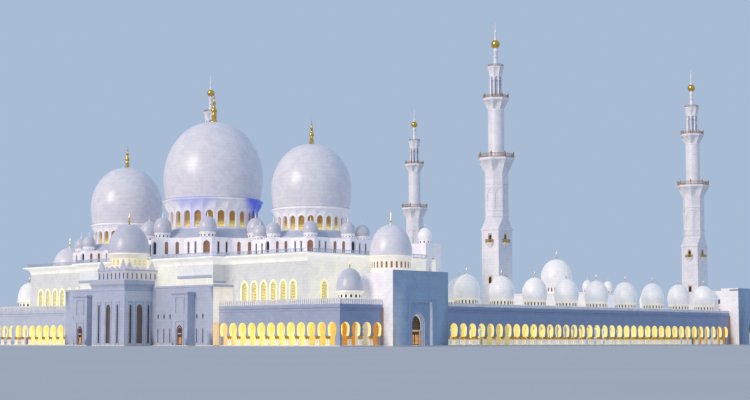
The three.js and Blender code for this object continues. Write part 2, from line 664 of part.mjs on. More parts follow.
// Portal blocks: a thick screen with a stepped recess, and a hollow block behind it. The two beside
// the hall carry a dome, and the two at the court's far corners have a flat roof and small windows.
function portalBlock(x, besideHall) {
  const west = x - PORTAL_HALF;
  const east = x + PORTAL_HALF;
  const back = besideHall ? HALL_HALF + SEAT : GALLERY_INNER + SEAT;
  const front = -PORTAL_FRONT;
  const screenBack = besideHall ? -PORTAL_SCREEN_BACK : -CORNER_SCREEN_BACK;
  const rearTop = besideHall ? PORTAL_REAR_TOP : CORNER_REAR_TOP;
  const shell = join(
    block(west, east, front, screenBack, FOOT, besideHall ? PORTAL_TOP : CORNER_TOP),
    block(west, east, screenBack - 0.1, -back, FOOT, rearTop),
  );
  const insideBack = besideHall ? -back + 1 : -back - PORTAL_WALL;
  const inside = block(
    west + PORTAL_WALL, east - PORTAL_WALL, -PORTAL_SCREEN_BACK, insideBack,
    FLOOR_TOP - 1, rearTop - 1,
  );
  const passageEnd = besideHall ? PORTAL_HALF + 1 : 0;
  const passage = archTunnel(0, PASSAGE_WIDTH, FLOOR_TOP - 1, PASSAGE_TOP, -PORTAL_HALF - 1, passageEnd);
  passage.rotateZ(-Math.PI / 2);
  passage.translate(x, -GALLERY_AXIS, 0);
  const turn = archTunnel(EAST_AXIS, PASSAGE_WIDTH, FLOOR_TOP - 1, PASSAGE_TOP, insideBack - 1, -back + 1);
  const recess = block(
    x - RECESS_WIDTH / 2, x + RECESS_WIDTH / 2, front - 1, front + RECESS_DEPTH, FLOOR_TOP - 1, RECESS_TOP,
  );
  const nicheBack = front + RECESS_DEPTH + NICHE_DEPTH;
  const niche = archTunnel(x, NICHE_WIDTH, FLOOR_TOP - 1, NICHE_TOP, front, nicheBack, 3);
  const doorway = block(
    x - DOOR_WIDTH / 2, x + DOOR_WIDTH / 2, front, -PORTAL_SCREEN_BACK + 1, FLOOR_TOP - 1, DOOR_TOP,
  );
  const fanlight = archTunnel(
    x, DOOR_WIDTH, FANLIGHT_FOOT, FANLIGHT_TOP, nicheBack - 0.1, nicheBack + FANLIGHT_DEPTH, 2,
  );
  const windows = [[15.4, 17.0], [12.4, 13.3]].map(([z0, z1]) => block(
    west - 1, west + PORTAL_WALL + 0.5, CORNER_WINDOW_Y - 0.45, CORNER_WINDOW_Y + 0.45, z0, z1,
  ));
  const openings = [inside, passage, recess, niche, doorway, fanlight];
  return cut(shell, ...openings, ...(besideHall ? [] : [turn, ...windows]));
}
const westPortal = portalBlock(DOME_X, true);
addPair('south_portal', 'north_portal', westPortal);
addPair(
  'south_portal_dome', 'north_portal_dome',
  smallDome(DOME_X, -GALLERY_AXIS, PORTAL_REAR_TOP + SEAT, 6.3, 26.2, 35.6, 39.6, 12, 4), paleMarble,
);
const cornerPortal = cut(portalBlock(PORTAL_EAST_X, false), minaretSpace(COURT_EAST));
addPair('southeast_portal', 'northeast_portal', cornerPortal);

// Double doors of the two portals: two leaves that open inward
const LEAF_Y = -PORTAL_SCREEN_BACK - 0.8;
const pivotReach = DOOR_WIDTH / 2 - PIVOT_INSET;
const westLeaf = leaf(pivotReach - LEAF_MEETING, DOOR_TOP);
westLeaf.translate(DOME_X - pivotReach, LEAF_Y, 0);
addPair('south_door_west_leaf', 'north_door_west_leaf', westLeaf, bronze);
const eastLeaf = leaf(pivotReach - LEAF_MEETING, DOOR_TOP);
eastLeaf.rotateZ(Math.PI);
eastLeaf.translate(DOME_X + pivotReach, LEAF_Y, 0);
addPair('south_door_east_leaf', 'north_door_east_leaf', eastLeaf, bronze);

// Long galleries beside the court
const portalEast = DOME_X + PORTAL_HALF;
const eastPortalWest = PORTAL_EAST_X - PORTAL_HALF;
const longMiddle = (portalEast + eastPortalWest) / 2;
addPair('south_outer_arcade', 'north_outer_arcade', arcade(
  portalEast + SEAT, eastPortalWest - SEAT, -GALLERY_OUTER, -GALLERY_OUTER + ARCADE_WALL,
  spread(longMiddle, 38, ARCH_PITCH),
));
const minaretEdge = MINARET_SIDE / 2 + SEAT;
addPair('south_court_arcade', 'north_court_arcade', arcade(
  minaretEdge, COURT_EAST - minaretEdge, -GALLERY_INNER - ARCADE_WALL, -GALLERY_INNER,
  spread(COURT_EAST / 2, 26, ARCH_PITCH),
));
const longDomes = Array.from({ length: 10 }, (_, k) => galleryDome(DOME_X + (k + 1) * BAY, -GALLERY_AXIS));
const longRoof = cut(join(
  block(
    portalEast + SEAT, eastPortalWest - SEAT, -GALLERY_OUTER, -GALLERY_INNER,
    GALLERY_CEILING + SEAT, GALLERY_ROOF,
  ),
  block(
    portalEast + SEAT, HALL_EAST, -GALLERY_INNER - 0.1, -HALL_HALF - SEAT,
    GALLERY_CEILING + SEAT, GALLERY_ROOF,
  ),
  ...longDomes,
), minaretSpace(0), minaretSpace(COURT_EAST));
addPair('south_gallery_roof', 'north_gallery_roof', longRoof);

// Gallery between the hall and the court
const insideMinarets = MINARET_Y - MINARET_SIDE / 2 - SEAT;
add('west_court_arcade', arcadeAlongY(
  -insideMinarets, insideMinarets, -ARCADE_WALL, 0, spread(0, 31, ARCH_PITCH),
));
const crossRows = [28.6, 45.8, 63.0].flatMap((y) => [-y, y]);
add('west_court_roof', cut(
  join(
    block(
      HALL_EAST + SEAT, 0, -GALLERY_INNER + SEAT, GALLERY_INNER - SEAT, GALLERY_CEILING + SEAT, GALLERY_ROOF,
    ),
    ...crossRows.map((y) => galleryDome(-BAY / 2, y)),
  ),
  minaretSpace(0), mirrored(minaretSpace(0)),
));

// East gallery with the gate block at its middle
add('east_court_arcade', arcadeAlongY(
  -insideMinarets, insideMinarets, COURT_EAST, COURT_EAST + ARCADE_WALL, spread(0, 31, ARCH_PITCH),
));
add('east_outer_arcade', arcadeAlongY(
  -GALLERY_INNER, GALLERY_INNER, GALLERY_EAST - ARCADE_WALL, GALLERY_EAST, spread(0, 33, ARCH_PITCH),
));
add('east_gallery_roof', cut(
  join(
    block(COURT_EAST, GALLERY_EAST, -GALLERY_INNER, GALLERY_INNER, GALLERY_CEILING + SEAT, GALLERY_ROOF),
    ...crossRows.filter((y) => Math.abs(y) > GATE_HALF + 6).map((y) => galleryDome(EAST_AXIS, y)),
  ),
  minaretSpace(COURT_EAST), mirrored(minaretSpace(COURT_EAST)),
));
const gateShell = cut(
  block(
    COURT_EAST - GATE_OVER, GALLERY_EAST + GATE_OVER, -GATE_HALF, GATE_HALF, GALLERY_ROOF + SEAT, GATE_TOP,
  ),
  block(COURT_EAST + 1, GALLERY_EAST - 1, -GATE_HALF + 1, GATE_HALF - 1, GALLERY_ROOF - 1, GATE_TOP - 1),
);
const gateTurretXs = [COURT_EAST - GATE_OVER + GATE_TURRET_IN, GALLERY_EAST + GATE_OVER - GATE_TURRET_IN];
const gateTurrets = gateTurretXs.flatMap((x) => [-GATE_TURRET_Y, GATE_TURRET_Y].map(
  (y) => smallDome(x, y, GATE_TOP - 0.1, 2.15, 22.7, 26.1, 27.5, 6, 2),
));
const gateDome = smallDome(EAST_AXIS, 0, GATE_TOP - 0.1, 6.55, 25.0, 35.6, 39.6, 12, 4);
add('east_gate_block', join(gateShell, ...gateTurrets, gateDome));

// Minarets: a square foot, an eight-sided shaft, a round shaft and an open lantern, with a
// balcony on a flared corbel between each two, and a gilded ball and spire on the top
const SQUARE_TOP = 37.9;
const OCTAGON_FOOT = 41.1;
const OCTAGON_RADIUS = 4.0;
const FIRST_CORBEL = 56.3;
const FIRST_BALCONY = 61.0;
const FIRST_RADIUS = 6.0;
const ROUND_RADIUS = 2.65;
const SECOND_CORBEL = 77.1;
const SECOND_BALCONY = 80.8;
const SECOND_RADIUS = 4.4;
const LANTERN_TOP = 88.1;
const CAPITAL_TOP = 91.5;
const SPIRE_TOP = 107.0;

function minaret(x) {
  const half = MINARET_SIDE / 2;
  const corner = half * Math.SQRT2;
  const foot = prism(corner, 0, SQUARE_TOP, 4, EIGHTH);
  const collar = turned([
    [0, SQUARE_TOP], [half, SQUARE_TOP], [OCTAGON_RADIUS, OCTAGON_FOOT], [0, OCTAGON_FOOT],
  ], 8, EIGHTH / 2);
  const middle = turned([
    [0, OCTAGON_FOOT], [OCTAGON_RADIUS, OCTAGON_FOOT], [OCTAGON_RADIUS, FIRST_CORBEL],
    [FIRST_RADIUS, FIRST_BALCONY - 0.8], [FIRST_RADIUS + 0.1, FIRST_BALCONY], [0, FIRST_BALCONY],
  ], 8, EIGHTH / 2);
  const upper = turned([
    [0, FIRST_BALCONY], [ROUND_RADIUS, FIRST_BALCONY], [ROUND_RADIUS, SECOND_CORBEL],
    [SECOND_RADIUS, SECOND_BALCONY - 0.5], [SECOND_RADIUS, SECOND_BALCONY], [0, SECOND_BALCONY],
  ], 8, EIGHTH / 2);
  const lantern = turned([
    [0, SECOND_BALCONY], [2.0, SECOND_BALCONY], [2.0, LANTERN_TOP], [2.8, CAPITAL_TOP], [0.7, CAPITAL_TOP],
    [0.7, 97.4], [1.45, 98.9], [0.7, 100.4], [0, SPIRE_TOP],
  ], 8, EIGHTH / 2);
  const geometry = join(foot, collar, middle, upper, lantern);
  geometry.translate(x, -MINARET_Y, 0);
  return geometry;
}
addPair('southwest_minaret', 'northwest_minaret', minaret(0));
addPair('southeast_minaret', 'northeast_minaret', minaret(COURT_EAST));

// The origin moves to the middle of the whole plan
const PLAN_MIDDLE = 19.55;
mosque.position.x = -PLAN_MIDDLE * MM_PER_METRE;
mosque.scale.setScalar(MM_PER_METRE);
mosque.updateMatrixWorld(true);

export default mosque;
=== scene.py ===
"""A large white mosque: prayer hall under three big domes, front bay, arcaded galleries round a
court, portal blocks and four minarets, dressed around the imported 1:10 frame.

All sizes are metres of the real building, with the hall's front toward -X and the line of the
two west minarets at x = 0. at() brings them to the model.
"""

import math

import bmesh
import bpy
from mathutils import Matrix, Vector


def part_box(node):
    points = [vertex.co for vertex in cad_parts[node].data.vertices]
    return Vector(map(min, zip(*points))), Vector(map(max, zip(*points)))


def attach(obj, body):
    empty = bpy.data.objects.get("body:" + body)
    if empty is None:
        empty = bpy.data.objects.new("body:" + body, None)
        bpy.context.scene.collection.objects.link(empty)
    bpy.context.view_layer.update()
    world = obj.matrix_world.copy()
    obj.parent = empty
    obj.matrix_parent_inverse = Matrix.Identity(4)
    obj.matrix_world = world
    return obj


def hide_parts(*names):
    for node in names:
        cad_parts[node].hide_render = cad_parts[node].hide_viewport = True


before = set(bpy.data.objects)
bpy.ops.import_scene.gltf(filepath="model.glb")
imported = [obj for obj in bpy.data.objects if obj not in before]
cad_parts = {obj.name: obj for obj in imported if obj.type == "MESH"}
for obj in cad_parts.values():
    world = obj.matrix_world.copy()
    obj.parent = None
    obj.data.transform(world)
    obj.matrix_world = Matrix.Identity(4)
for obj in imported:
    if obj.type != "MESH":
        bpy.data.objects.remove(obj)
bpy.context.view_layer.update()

# Scale
# The model is a tenth of the building's size. Its hall floor, which ends on the line x = 0, says
# where that line lies in the model.
SCALE = 0.1
PLAN_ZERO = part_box("hall_floor")[1].x


def at(x, y, z):
    """A point of the building as a point of the model."""
    return (PLAN_ZERO + x * SCALE, y * SCALE, z * SCALE)


# Camera and floor
# The camera stands at a visitor's eye height off the hall's front left corner, as it did for
# the photograph, with a long lens. The floor is a wide pale sheet.
EYE = (-384.93, -382.61, 1.6)
LENS_PX = 1516.45
PHOTO_WIDTH_PX = 750
SENSOR_MM = 36.0
PITCH_UP = math.radians(5.303)
YAW_FROM_X = math.radians(43.501)
FLOOR_REACH, FLOOR_UNDER = 3000.0, 0.02

camera_data = bpy.data.cameras.new("camera")
camera_data.sensor_width = SENSOR_MM
camera_data.lens = LENS_PX / PHOTO_WIDTH_PX * SENSOR_MM
camera_data.clip_end = 2000.0
camera = bpy.data.objects.new("camera", camera_data)
camera.location = at(*EYE)
camera.rotation_euler = (math.pi / 2 + PITCH_UP, 0, YAW_FROM_X - math.pi / 2)
bpy.context.scene.collection.objects.link(camera)
bpy.context.scene.camera = camera


def linear(hex_code):
    """An sRGB hex colour as the linear values that shaders take."""
    parts = [int(hex_code[i:i + 2], 16) / 255 for i in (1, 3, 5)]
    return (*[c / 12.92 if c <= 0.04045 else ((c + 0.055) / 1.055) ** 2.4 for c in parts], 1.0)


def put(tree, kind, inputs=None, **settings):
    """Adds a node, with its settings, and with values or other nodes' outputs on its inputs."""
    node = tree.nodes.new(kind)
    for key, value in settings.items():
        setattr(node, key, value)
    for key, value in (inputs or {}).items():
        if isinstance(value, bpy.types.NodeSocket):
            tree.links.new(value, node.inputs[key])
        else:
            node.inputs[key].default_value = value
    return node


def shaded(name):
    """An empty material, and its node tree."""
    material = bpy.data.materials.new(name)
    material.use_nodes = True
    material.node_tree.nodes.clear()
    return material, material.node_tree


def close(tree, shader):
    """Gives the material its surface."""
    put(tree, "ShaderNodeOutputMaterial", {"Surface": shader})


# Studio floor: pale matt paint, rolled on, which gives the eye a faint mottle
pale_floor, tree = shaded("studio_floor")
mottle = put(tree, "ShaderNodeTexNoise", {
    "Vector": put(tree, "ShaderNodeTexCoord").outputs["Object"], "Scale": 0.4, "Detail": 3.0})
ramp = put(tree, "ShaderNodeValToRGB", {"Fac": mottle.outputs["Fac"]})
ramp.color_ramp.elements[0].color = linear("#b4bac0")
ramp.color_ramp.elements[1].color = linear("#c0c5ca")
close(tree, put(tree, "ShaderNodeBsdfPrincipled", {
    "Base Color": ramp.outputs["Color"], "Roughness": 0.9}).outputs["BSDF"])

floor_mesh = bpy.data.meshes.new("studio_floor")
corners = [(-FLOOR_REACH, -FLOOR_REACH), (FLOOR_REACH, -FLOOR_REACH),
           (FLOOR_REACH, FLOOR_REACH), (-FLOOR_REACH, FLOOR_REACH)]
floor_mesh.from_pydata([at(x, y, -FLOOR_UNDER) for x, y in corners], [], [(0, 1, 2, 3)])
floor_mesh.materials.append(pale_floor)
studio_floor = bpy.data.objects.new("studio_floor", floor_mesh)
bpy.context.scene.collection.objects.link(studio_floor)


# Floors
# The hall and the galleries stand on thin slabs paved with white marble. The frame's own solids
# are right, so they only get their finish.
JOINT, JOINT_TONE = 0.03, 0.86
SLAB, PAVER = (1.8, 0.9), (0.6, 0.6)
VEINS = 2.6


# Marble: the building is clad in sawn and honed white slabs with tight joints. They give the eye an
# even, slightly lavender white with a soft sheen, a fine grid, and faint grey veins that repeat
# about every 4 m, coarser than real ones so that they show.
def marble(name, light, dark, slab=SLAB, roughness=0.34, glow=None, by_slab=True, patches=()):
    """Marble slabs of one tint. slab is their width and height in metres on the faces, and glow is
    the tint and strength of the floodlight that the slabs send back. Each patch is a coloured lamp's
    light painted into the colour as a soft spot: its tint, its direction in plan, and the two
    distances that it grows between."""
    material, tree = shaded(name)
    coordinates = put(tree, "ShaderNodeTexCoord")
    where = coordinates.outputs["UV" if by_slab else "Object"]
    joint = (*[JOINT_TONE * part for part in linear(dark)[:3]], 1.0)
    slabs = put(tree, "ShaderNodeTexBrick", {
        "Vector": where, "Color1": linear(light), "Color2": linear(dark), "Mortar": joint,
        "Scale": 1.0 if by_slab else 1 / SCALE, "Mortar Size": JOINT, "Mortar Smooth": 0.3,
        "Brick Width": slab[0], "Row Height": slab[1]}, offset=0.5)
    veins = put(tree, "ShaderNodeTexNoise", {
        "Vector": coordinates.outputs["Object"], "Scale": VEINS, "Detail": 8.0, "Distortion": 1.4})
    vein_tone = put(tree, "ShaderNodeValToRGB", {"Fac": veins.outputs["Fac"]})
    vein_tone.color_ramp.elements[0].position = 0.36
    vein_tone.color_ramp.elements[0].color = linear("#f3f4f8")
    vein_tone.color_ramp.elements[1].position = 0.6
    vein_tone.color_ramp.elements[1].color = linear("#ffffff")
    mixed = put(tree, "ShaderNodeMix", {
        0: 1.0, 6: slabs.outputs["Color"], 7: vein_tone.outputs["Color"]},
        data_type="RGBA", blend_type="MULTIPLY")
    # Painted light: each patch blends a coloured lamp's tint into the marble's colour as a soft spot
    for tint, (along_x, along_y), near, far in patches:
        reach = put(tree, "ShaderNodeVectorMath", {
            0: coordinates.outputs["Object"], 1: (along_x, along_y, 0.0)}, operation="DOT_PRODUCT")
        painted_lamp_spot = put(tree, "ShaderNodeMapRange", {
            "Value": reach.outputs["Value"], "From Min": near, "From Max": far},
            interpolation_type="SMOOTHSTEP")
        mixed = put(tree, "ShaderNodeMix", {
            0: painted_lamp_spot.outputs["Result"], 6: mixed.outputs[2], 7: linear(tint)}, data_type="RGBA")
    bump = put(tree, "ShaderNodeBump", {
        "Height": slabs.outputs["Fac"], "Strength": 0.12, "Distance": 0.002}, invert=True)
    surface = {"Base Color": mixed.outputs[2], "Roughness": roughness, "Normal": bump.outputs["Normal"]}
    if glow:
        tint, strength = glow
        sent_back = put(tree, "ShaderNodeMix", {
            0: 1.0, 6: mixed.outputs[2], 7: linear(tint)}, data_type="RGBA", blend_type="MULTIPLY")
        surface["Emission Color"] = sent_back.outputs[2]
        surface["Emission Strength"] = strength
    close(tree, put(tree, "ShaderNodeBsdfPrincipled", surface).outputs["BSDF"])
    return material


floor_marble = marble("floor_marble", "#e8e6e6", "#dfdede", PAVER, by_slab=False)
for node in ("hall_floor", "south_gallery_floor", "north_gallery_floor", "east_gallery_floor"):
    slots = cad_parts[node].data.materials
    slots.clear()
    slots.append(floor_marble)


# Prayer hall walls
# Tall plain walls of white marble, stepped forward at the middle of the front, floodlit warm
# white from below. They carry a row of tall arched windows with gilded lattices.
HALL_WEST, HALL_EAST, HALL_HALF = -83.1, -24.8, 69.6
STEP_WEST, STEP_HALF = -88.0, 33.75
LEDGE_TOP, SIDE_LEDGE_TOP, BRIGHT_HALF = 21.4, 19.5, 17.5
HALL_WALL = 1.5
SLAB_TOP, HALL_ROOF = 0.3, 26.9
WINDOW_FOOT, WINDOW_TOP, WINDOW_WIDTH = 12.5, 19.0, 2.2
WINDOW_PITCH, WINDOWS_MIDDLE = 4.22, -52.95
DOME_X, BAY = -59.5, 17.2
COURT_DOOR_WIDTH, COURT_DOOR_TOP = 5.0, 8.8
BOX_MIDDLE, BOX_DOOR_WIDTH, BOX_DOOR_TOP = 25.3, 1.8, 3.6
FACE_SHARP, TOUCHING = math.radians(34), 0.0002

# The same marble as the floodlights show it: each tint sends back the light that falls on it, bright on
# the front and its panels, cream round the windows, and softer inside
flood_marble = marble("flood_marble", "#a4a4a3", "#a2a2a1", glow=("#fdfdff", 1.13))
flood_side_marble = marble("flood_side_marble", "#a8a8a6", "#a6a6a4", glow=("#fffdf0", 1.5))
panel_marble = marble("panel_marble", "#a0a0a2", "#9e9ea0", glow=("#fcfcfd", 1.55))
side_panel_marble = marble("side_panel_marble", "#a4a4a6", "#a2a2a4", glow=("#fdfdff", 0.74))
glow_marble = marble("glow_marble", "#ebe8c0", "#e9e6ba", glow=("#fffbc8", 0.62))
inside_marble = marble("inside_marble", "#f2ece0", "#ece5d8", glow=("#ffeecb", 0.3))


# Masonry is drawn as faces collected in metres, each with its place on the slab grid, and then set
# into one mesh for the piece
class Masonry:
    """Faces of one piece, with their grid places and finishes."""

    def __init__(self):
        self.points = []
        self.faces = []
        self.places = []
        self.finishes = []

    def add(self, points, faces, places, finish=0):
        """faces index into points, and places holds a grid place for each point."""
        base = len(self.points)
        self.points.extend(points)
        for face in faces:
            self.faces.append(tuple(base + i for i in face))
            self.places.extend(places[i] for i in face)
            self.finishes.append(finish)


def build(name, work, finishes, replaces=(), body="building", flip=False):
    """Makes the piece, mirrored across the plan's axis for its north twin, and sets it on its body."""
    side = -1 if flip else 1
    mesh = bpy.data.meshes.new(name)
    faces = [tuple(reversed(face)) for face in work.faces] if flip else work.faces
    mesh.from_pydata([at(x, side * y, z) for x, y, z in work.points], [], faces)
    grid = mesh.uv_layers.new(name="slabs")
    values = []
    index = 0
    for face in work.faces:
        corners = work.places[index:index + len(face)]
        index += len(face)
        for u, v in (reversed(corners) if flip else corners):
            values += (u, v)
    grid.data.foreach_set("uv", values)
    for material in finishes:
        mesh.materials.append(material)
    mesh.polygons.foreach_set("material_index", work.finishes)
    mesh.polygons.foreach_set("use_smooth", [True] * len(mesh.polygons))
    joined = bmesh.new()
    joined.from_mesh(mesh)
    bmesh.ops.remove_doubles(joined, verts=joined.verts, dist=TOUCHING)
    bmesh.ops.recalc_face_normals(joined, faces=joined.faces)
    joined.to_mesh(mesh)
    joined.free()
    mesh.set_sharp_from_angle(angle=FACE_SHARP)
    piece = bpy.data.objects.new(name, mesh)
    bpy.context.scene.collection.objects.link(piece)
    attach(piece, body)
    if replaces:
        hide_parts(*replaces)


def arch_line(width, foot, spring, top, steps=7, point=0.2):
    """An arched opening's outline, from its left foot over the crown to its right foot."""
    line = [(-width / 2, foot)]
    for i in range(2 * steps + 1):
        turn = math.pi * i / (2 * steps)
        rise = (1 - point) * math.sin(turn) + point * (1 - abs(math.cos(turn)))
        line.append((-width / 2 * math.cos(turn), spring + (top - spring) * rise))
    line.append((width / 2, foot))
    return line


def door_line(width, foot, top):
    """A square-headed opening's outline, in the same order."""
    half = width / 2
    return [(-half, foot), (-half, top), (0, top), (half, top), (half, foot)]


def on_x(x, out):
    """Places a point of a wall that faces along X: u along Y, v up, and d into the wall."""
    return lambda u, v, d: (x - out * d, u, v)


def on_y(y, out):
    """The same for a wall that faces along Y, with u along X."""
    return lambda u, v, d: (u, y - out * d, v)


def sheet(work, place, u0, u1, v0, v1, finish=0):
    """A plain stretch of face."""
    corners = [(u0, v0), (u1, v0), (u0, v1), (u1, v1)]
    work.add([place(u, v, 0) for u, v in corners], [(0, 1, 3, 2)], corners, finish)


def opening_sides(work, place, middle, line, sill, depth, reveal, pane):
    """The reveal round an opening, and a pane near its back."""
    if depth:
        ring = line + [line[0]]
        along = [0.0]
        for a, b in zip(ring, ring[1:]):
            along.append(along[-1] + math.dist(a, b))
        count = len(line)
        work.add([place(middle + u, v, d) for d in (0, depth) for u, v in ring],
                 [(i, i + 1, count + 2 + i, count + 1 + i) for i in range(count if sill else count - 1)],
                 [(d, s) for d in (0.0, depth) for s in along], reveal)
    if pane is not None:
        work.add([place(middle + u, v, depth * 0.8) for u, v in line], [tuple(range(len(line)))],
                 [(middle + u, v) for u, v in line], pane)


def halved_panel(work, place, middle, width, foot, head, line, depth, wall=0, reveal=0, pane=None):
    """A stretch of flat wall with one opening of any outline, as a left and a right half."""
    u0, u1 = middle - width / 2, middle + width / 2
    crown = len(line) // 2
    rim = [(middle + u, v) for u, v in line]
    sill = line[0][1] > foot + 1e-6
    under = [(middle, foot), (middle, line[0][1])] if sill else []
    left = [(u0, foot), *under, *rim[:crown + 1], (middle, head), (u0, head)]
    right = [(u1, foot), (u1, head), (middle, head), *rim[crown:], *reversed(under)]
    for half in (left, right):
        work.add([place(u, v, 0) for u, v in half], [tuple(range(len(half)))], half, wall)
    opening_sides(work, place, middle, line, sill, depth, reveal, pane)


def pierced_wall(work, place, u0, u1, foot, head, holes, depth=0.0, wall=0, reveal=0):
    """A wall face with a row of openings. holes lists (middle, stretch width, outline, pane)."""
    edge = u0
    for middle, width, line, pane in sorted(holes, key=lambda hole: hole[0]):
        if middle - width / 2 > edge + 1e-6:
            sheet(work, place, edge, middle - width / 2, foot, head, wall)
        halved_panel(work, place, middle, width, foot, head, line, depth, wall, reveal, pane)
        edge = middle + width / 2
    if u1 > edge + 1e-6:
        sheet(work, place, edge, u1, foot, head, wall)


def thick_wall(work, facing, plane, out, thick, u0, u1, foot, head, holes, outer=0, reveal=0, inner=0):
    """Both faces of a wall, with openings whose reveals meet half way through it."""
    pierced_wall(work, facing(plane, out), u0, u1, foot, head, holes, thick / 2, outer, reveal)
    behind = [(middle, width, line, None) for middle, width, line, pane in holes]
    pierced_wall(work, facing(plane - out * thick, -out), u0, u1, foot, head, behind, thick / 2, inner,
                 reveal)


# Lattice windows: a gilded screen in front of lamplit glass, with its cells drawn 0.45 m wide,
# coarser than the real ones, so that they still show. A fade paints the lamplight in two levels:
# the glass is bright at the lower one, near the lamps, and takes the dimmer colour at the upper one.
def lattice_glass(name, lamp, strength, bars, cell=0.45, bar=0.07, fade=None):
    material, tree = shaded(name)
    where = put(tree, "ShaderNodeTexCoord").outputs["UV"]
    glass = linear(lamp)
    if fade:
        # Painted lamplight: the glass fades from the lamp's tint below to the dimmer one above
        low, high, dimmer = fade
        height = put(tree, "ShaderNodeSeparateXYZ", {"Vector": where}).outputs["Y"]
        rise = put(tree, "ShaderNodeMapRange", {
            "Value": height, "From Min": low, "From Max": high}).outputs["Result"]
        glass = put(tree, "ShaderNodeMix", {0: rise, 6: linear(lamp), 7: linear(dimmer)},
                    data_type="RGBA").outputs[2]
    screen = put(tree, "ShaderNodeTexBrick", {
        "Vector": where, "Color1": glass, "Color2": glass, "Mortar": linear("#000000"),
        "Scale": 1.0, "Mortar Size": bar, "Mortar Smooth": 0.2, "Brick Width": cell,
        "Row Height": cell}, offset=0.5)
    flicker = put(tree, "ShaderNodeTexNoise", {"Vector": where, "Scale": 0.8, "Detail": 2.0})
    tone = put(tree, "ShaderNodeMapRange", {
        "Value": flicker.outputs["Fac"], "From Min": 0.3, "From Max": 0.7, "To Min": 0.65, "To Max": 1.1})
    lit = put(tree, "ShaderNodeMix", {
        0: 1.0, 6: screen.outputs["Color"], 7: tone.outputs["Result"]},
        data_type="RGBA", blend_type="MULTIPLY")
    close(tree, put(tree, "ShaderNodeBsdfPrincipled", {
        "Base Color": linear(bars), "Roughness": 0.3, "Emission Color": lit.outputs[2],
        "Emission Strength": strength}).outputs["BSDF"])
    return material


lit_lattice = lattice_glass("lit_lattice", "#fff2a0", 1.05, "#a8954f", bar=0.08)
dim_lattice = lattice_glass("dim_lattice", "#c79a7c", 0.42, "#7a5a48")
dark_glass = lattice_glass("dark_glass", "#3a3444", 0.25, "#23252f")


def arch_band(work, place, middle, line, grown, finish, proud=0.03):
    """A band round an opening, from its outline to a grown one, that stands proud of the wall."""
    count = len(line)
    points = [place(middle + u, v, d) for d in (-proud, 0) for u, v in line + grown]
    faces = []
    for i in range(count - 1):
        faces += [(i, i + 1, count + i + 1, count + i), (i, i + 1, 2 * count + i + 1, 2 * count + i),
                  (count + i, count + i + 1, 3 * count + i + 1, 3 * count + i)]
    work.add(points, faces, (line + grown) * 2, finish)


LIT, DIM, DARK, INSIDE, WARM, BAND, PANEL, SIDE_PANEL = range(1, 9)
WINDOW_STRETCH, DOOR_STRETCH, LOBBY_STRETCH = 3.4, 7.0, 3.0
hall = Masonry()
tall_window = arch_line(WINDOW_WIDTH, WINDOW_FOOT, 17.4, WINDOW_TOP)
window_band = arch_line(WINDOW_WIDTH + 1.1, WINDOW_FOOT, 17.5, WINDOW_TOP + 0.55)
portal_way = arch_line(COURT_DOOR_WIDTH, SLAB_TOP, 6.4, COURT_DOOR_TOP)
lobby_way = door_line(BOX_DOOR_WIDTH, SLAB_TOP, BOX_DOOR_TOP)
front_windows = [(WINDOWS_MIDDLE + (k - 2.5) * WINDOW_PITCH, WINDOW_STRETCH, tall_window, LIT)
                 for k in range(6)]
lobby_doors = [(side * BOX_MIDDLE, LOBBY_STRETCH, lobby_way, None) for side in (-1, 1)]
side_windows = [(x, WINDOW_STRETCH, tall_window, LIT) for x in (-76.4, -43.4, -39.0, -34.6)]
side_windows.append((DOME_X, DOOR_STRETCH, portal_way, None))
court_doors = [(k * BAY, DOOR_STRETCH, portal_way, None) for k in range(-3, 4)]
for side in (-1, 1):
    low, high = sorted((side * STEP_HALF, side * HALL_HALF))
    windows = [(-side * middle, width, line, pane) for middle, width, line, pane in front_windows]
    thick_wall(hall, on_x, HALL_WEST, -1, HALL_WALL, low, high, SLAB_TOP, HALL_ROOF, windows, inner=INSIDE)
    for middle, width, line, pane in windows:
        arch_band(hall, on_x(HALL_WEST, -1), middle, line, window_band, BAND)
    for middle, width, line, pane in side_windows[:4]:
        arch_band(hall, on_y(side * HALL_HALF, side), middle, line, window_band, BAND)
    for foot, head, finish in ((SLAB_TOP, SIDE_LEDGE_TOP, 0), (SIDE_LEDGE_TOP, HALL_ROOF, SIDE_PANEL)):
        thick_wall(hall, on_y, side * STEP_HALF, side, HALL_WALL, STEP_WEST, HALL_WEST, foot, head, [],
                   outer=finish, inner=INSIDE)
    thick_wall(hall, on_y, side * HALL_HALF, side, HALL_WALL, HALL_WEST, HALL_EAST, SLAB_TOP, HALL_ROOF,
               side_windows, outer=WARM, inner=INSIDE)
thick_wall(hall, on_x, STEP_WEST, -1, HALL_WALL, -STEP_HALF, STEP_HALF, SLAB_TOP, LEDGE_TOP, lobby_doors,
           outer=WARM, inner=INSIDE)
for low, high, finish in ((-STEP_HALF, -BRIGHT_HALF, PANEL), (-BRIGHT_HALF, BRIGHT_HALF, WARM),
                          (BRIGHT_HALF, STEP_HALF, PANEL)):
    thick_wall(hall, on_x, STEP_WEST, -1, HALL_WALL, low, high, LEDGE_TOP, HALL_ROOF, [],
               outer=finish, inner=INSIDE)
thick_wall(hall, on_x, HALL_EAST, 1, HALL_WALL, -HALL_HALF, HALL_HALF, SLAB_TOP, HALL_ROOF, court_doors,
           inner=INSIDE)
build("hall_walls", hall, [flood_marble, lit_lattice, dim_lattice, dark_glass, inside_marble,
                           flood_side_marble, glow_marble, panel_marble, side_panel_marble],
      replaces=("front_wall", "south_hall_wall", "north_hall_wall", "court_wall"))


